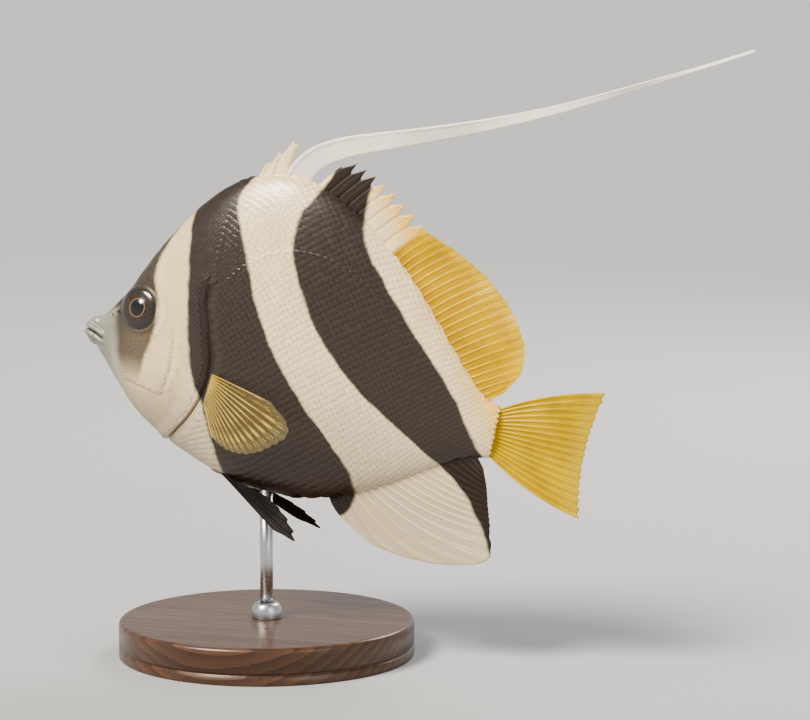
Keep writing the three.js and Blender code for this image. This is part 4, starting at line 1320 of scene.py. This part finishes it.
def woodMaterial():
    material, tree, shader = newMaterial("dark turned hardwood")
    finish = woodFinish
    place = objectPlace(tree, finish["stretch"], finish["turn"])
    warp = noise(tree, place, 0.9, 6)
    kind = {"wave_type": "BANDS", "bands_direction": "Y", "wave_profile": "SAW"}
    inputs = {"Vector": place, "Scale": 0.62, "Distortion": 3.0, "Detail": 4}
    rings = addNode(tree, "ShaderNodeTexWave", inputs, **kind).outputs["Fac"]
    pores = objectNoise(tree, 1, 2, (90, 2600, 2600))
    colour = blend(tree, rings, finish["dark"], finish["light"])
    colour = blend(tree, times(tree, ramp(tree, warp, 0.35, 0.7), 0.5), colour, finish["cloud"])
    feed(tree, shader, {
        "Base Color": blend(tree, ramp(tree, pores, 0.62, 0.72), colour, finish["pore"]),
        "Roughness": ramp(tree, warp, 0.2, 0.8, *finish["rough"]),
        "Coat Weight": finish["coat"], "Coat Roughness": finish["coatRough"],
        "Normal": bumps(tree, pores, 0.15, 0.0001),
    })
    return material


def steelMaterial():
    material, tree, shader = newMaterial("satin steel")
    brushed = objectNoise(tree, 1, 3, (300, 300, 9000))
    feed(tree, shader, {
        "Base Color": blend(tree, brushed, steelFinish["dark"], steelFinish["light"]),
        "Metallic": 1.0, "Roughness": ramp(tree, brushed, 0.3, 0.7, *steelFinish["rough"]),
        "Normal": bumps(tree, brushed, 0.08, 0.00005),
    })
    return material


def turned(name, profile, look, slot, segments, closed=False):
    # profile: (radius, height) in mm, turned about the part's own upright axis
    mesh = bmesh.new()
    verts = [mesh.verts.new((r / 1000, 0, z / 1000)) for r, z in profile]
    edges = [mesh.edges.new(pair) for pair in zip(verts, verts[1:] + (verts[:1] if closed else []))]
    turning = {"cent": (0, 0, 0), "axis": (0, 0, 1), "angle": 2 * math.pi, "steps": segments}
    bmesh.ops.spin(mesh, geom=verts + edges, **turning)
    bmesh.ops.remove_doubles(mesh, verts=mesh.verts, dist=1e-6)
    bmesh.ops.recalc_face_normals(mesh, faces=mesh.faces)
    data = bpy.data.meshes.new(name)
    mesh.to_mesh(data)
    mesh.free()
    faceOut(data)
    for polygon in data.polygons:
        polygon.use_smooth = abs(polygon.normal.z) < 0.999
    data.materials.append(look)
    declare(put(name, data), slot, "stand_" + name)


def rounded(corner, toward, away, radius, count=6):
    # an arc that rounds a profile's corner
    corner, toward, away = np.array([corner, toward, away], float)
    start = corner + (toward - corner) / np.linalg.norm(toward - corner) * radius
    end = corner + (away - corner) / np.linalg.norm(away - corner) * radius
    t = np.linspace(0, 1, count + 1)[:, None]
    return [tuple(p) for p in (1 - t) ** 2 * start + 2 * t * (1 - t) * corner + t**2 * end]


def buildStand():
    stand = standShape
    wood, steel = woodMaterial(), steelMaterial()
    radius, top, rod = stand["radius"], stand["height"], stand["rod"]
    low, wide, deep = stand["grooveFrom"], stand["grooveWidth"], stand["grooveDepth"]
    profile = [(0, 0)] + rounded((radius, 0), (0, 0), (radius, top), stand["foot"], 4) + [(radius, low)]
    profile += [(radius - deep * math.sin(math.pi * k / 8), low + wide * k / 8) for k in range(1, 8)]
    profile += [(radius, low + wide)] + rounded((radius, top), (radius, 0), (0, top), stand["edge"], 10)
    profile += [(rod + 0.25, top), (rod + 0.25, top - 1.5), (0, top - 1.5)]
    turned("base", profile, wood, "wood", stand["segments"])
    foot, head = top - stand["socket"] + 0.3, fish["bellyHeight"] + stand["intoBelly"]
    turned("rod", [(0, foot), (rod, foot), (rod, head), (0, head)], steel, "steel", stand["rodSegments"])
    inner, outer, rim = rod + 0.05, stand["collar"], top + stand["collarHeight"]
    ring = [(inner, top + 0.02)] + rounded((outer, top + 0.02), (inner, top), (outer, top + 3), 0.25, 3)
    ring += [(outer, top + 2.7)] + rounded((outer - 0.9, rim - 0.5), (outer, top + 2.8), (inner, rim), 0.7, 6)
    turned("collar", ring + [(inner, rim - 0.2)], steel, "steel", stand["collarSegments"], closed=True)


buildStand()
print("stand made")


# Floor, light and camera.

studio = {
    "azimuth": 18.0, "elevation": 6.5,  # the photograph's view of the fish, degrees
    "lens": 120.0, "margin": 1.1, "floorSize": 80.0,
    "picture": 810 / 720,  # its width over its height
    "floor": ((0.43, 0.434, 0.436), (0.455, 0.455, 0.455)),
    "sky": (0.42, 0.43, 0.45), "horizon": (0.685, 0.68, 0.666),
    # where the soft daylight comes from, its strength, its width in degrees and its colour
    "sun": ((-0.45, -0.7, 0.95), 4.7, 24.0, (1.0, 0.945, 0.86)),
    # name, place, size in metres, power in watts, colour
    "lamps": [
        ("fill", (0.85, -0.6, 0.45), 0.7, 2.0, (0.93, 0.97, 1.0)),
        ("rim", (0.3, 0.8, 0.75), 0.5, 6.0, (1.0, 0.98, 0.95)),
    ],
    "aim": (0.03, 0, 0.09),
}


def floorMaterial():
    material, tree, shader = newMaterial("pale floor")
    tint = blend(tree, objectNoise(tree, 6), *studio["floor"])
    feed(tree, shader, {"Base Color": tint, "Roughness": 0.9, "Specular IOR Level": 0.1})
    return material


def studioWorld():
    # as pale at the horizon as the far floor, so that neither ends in a line, and darker overhead
    world = bpy.data.worlds.new("studio")
    world.use_nodes = True
    tree = world.node_tree
    way = addNode(tree, "ShaderNodeTexCoord").outputs["Generated"]
    height = addNode(tree, "ShaderNodeSeparateXYZ", {0: way}).outputs[2]
    colour = blend(tree, ramp(tree, height, 0.0, 0.6), studio["horizon"], studio["sky"])
    feed(tree, tree.nodes["Background"], {"Color": colour})
    bpy.context.scene.world = world


def buildStudio():
    half = studio["floorSize"] / 2
    mesh = bpy.data.meshes.new("floor")
    corners = [(-half, -half, 0), (half, -half, 0), (half, half, 0), (-half, half, 0)]
    mesh.from_pydata(corners, [], [(0, 1, 2, 3)])
    mesh.materials.append(floorMaterial())
    put("floor", mesh)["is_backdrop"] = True
    studioWorld()
    way, strength, width, colour = studio["sun"]
    data = bpy.data.lights.new("sun", "SUN")
    data.energy, data.angle, data.color = strength, math.radians(width), colour
    put("sun", data).rotation_euler = Vector(way).to_track_quat("Z", "Y").to_euler()
    for name, place, breadth, power, colour in studio["lamps"]:
        data = bpy.data.lights.new(name, "AREA")
        data.shape, data.size, data.energy, data.color = "DISK", breadth, power, colour
        lamp = put(name, data)
        lamp.location = place
        lamp.rotation_euler = (Vector(studio["aim"]) - Vector(place)).to_track_quat("-Z", "Y").to_euler()


def buildCamera():
    azimuth, elevation = math.radians(studio["azimuth"]), math.radians(studio["elevation"])
    level = math.cos(elevation)
    back = Vector((math.sin(azimuth) * level, -math.cos(azimuth) * level, math.sin(elevation)))
    right = Vector((math.cos(azimuth), math.sin(azimuth), 0))
    up = back.cross(right)
    (lowX, lowY, lowZ), (highX, highY, highZ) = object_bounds()
    corners = [Vector((x, y, z)) for x in (lowX, highX) for y in (lowY, highY) for z in (lowZ, highZ)]
    across = [corner.dot(right) for corner in corners]
    tall = [corner.dot(up) for corner in corners]
    wide = max(max(across) - min(across), (max(tall) - min(tall)) * studio["picture"]) * studio["margin"]
    centre = right * (max(across) + min(across)) / 2 + up * (max(tall) + min(tall)) / 2
    data = bpy.data.cameras.new("camera")
    data.lens, data.sensor_width, data.clip_end = studio["lens"], 36.0, 200
    camera = put("camera", data)
    camera.location = centre + back * (wide / 2 / math.tan(data.angle / 2))
    camera.rotation_euler = back.to_track_quat("Z", "Y").to_euler()
    bpy.context.scene.camera = camera


buildStudio()
buildCamera()
bpy.context.scene.view_settings.look = "AgX - Medium High Contrast"
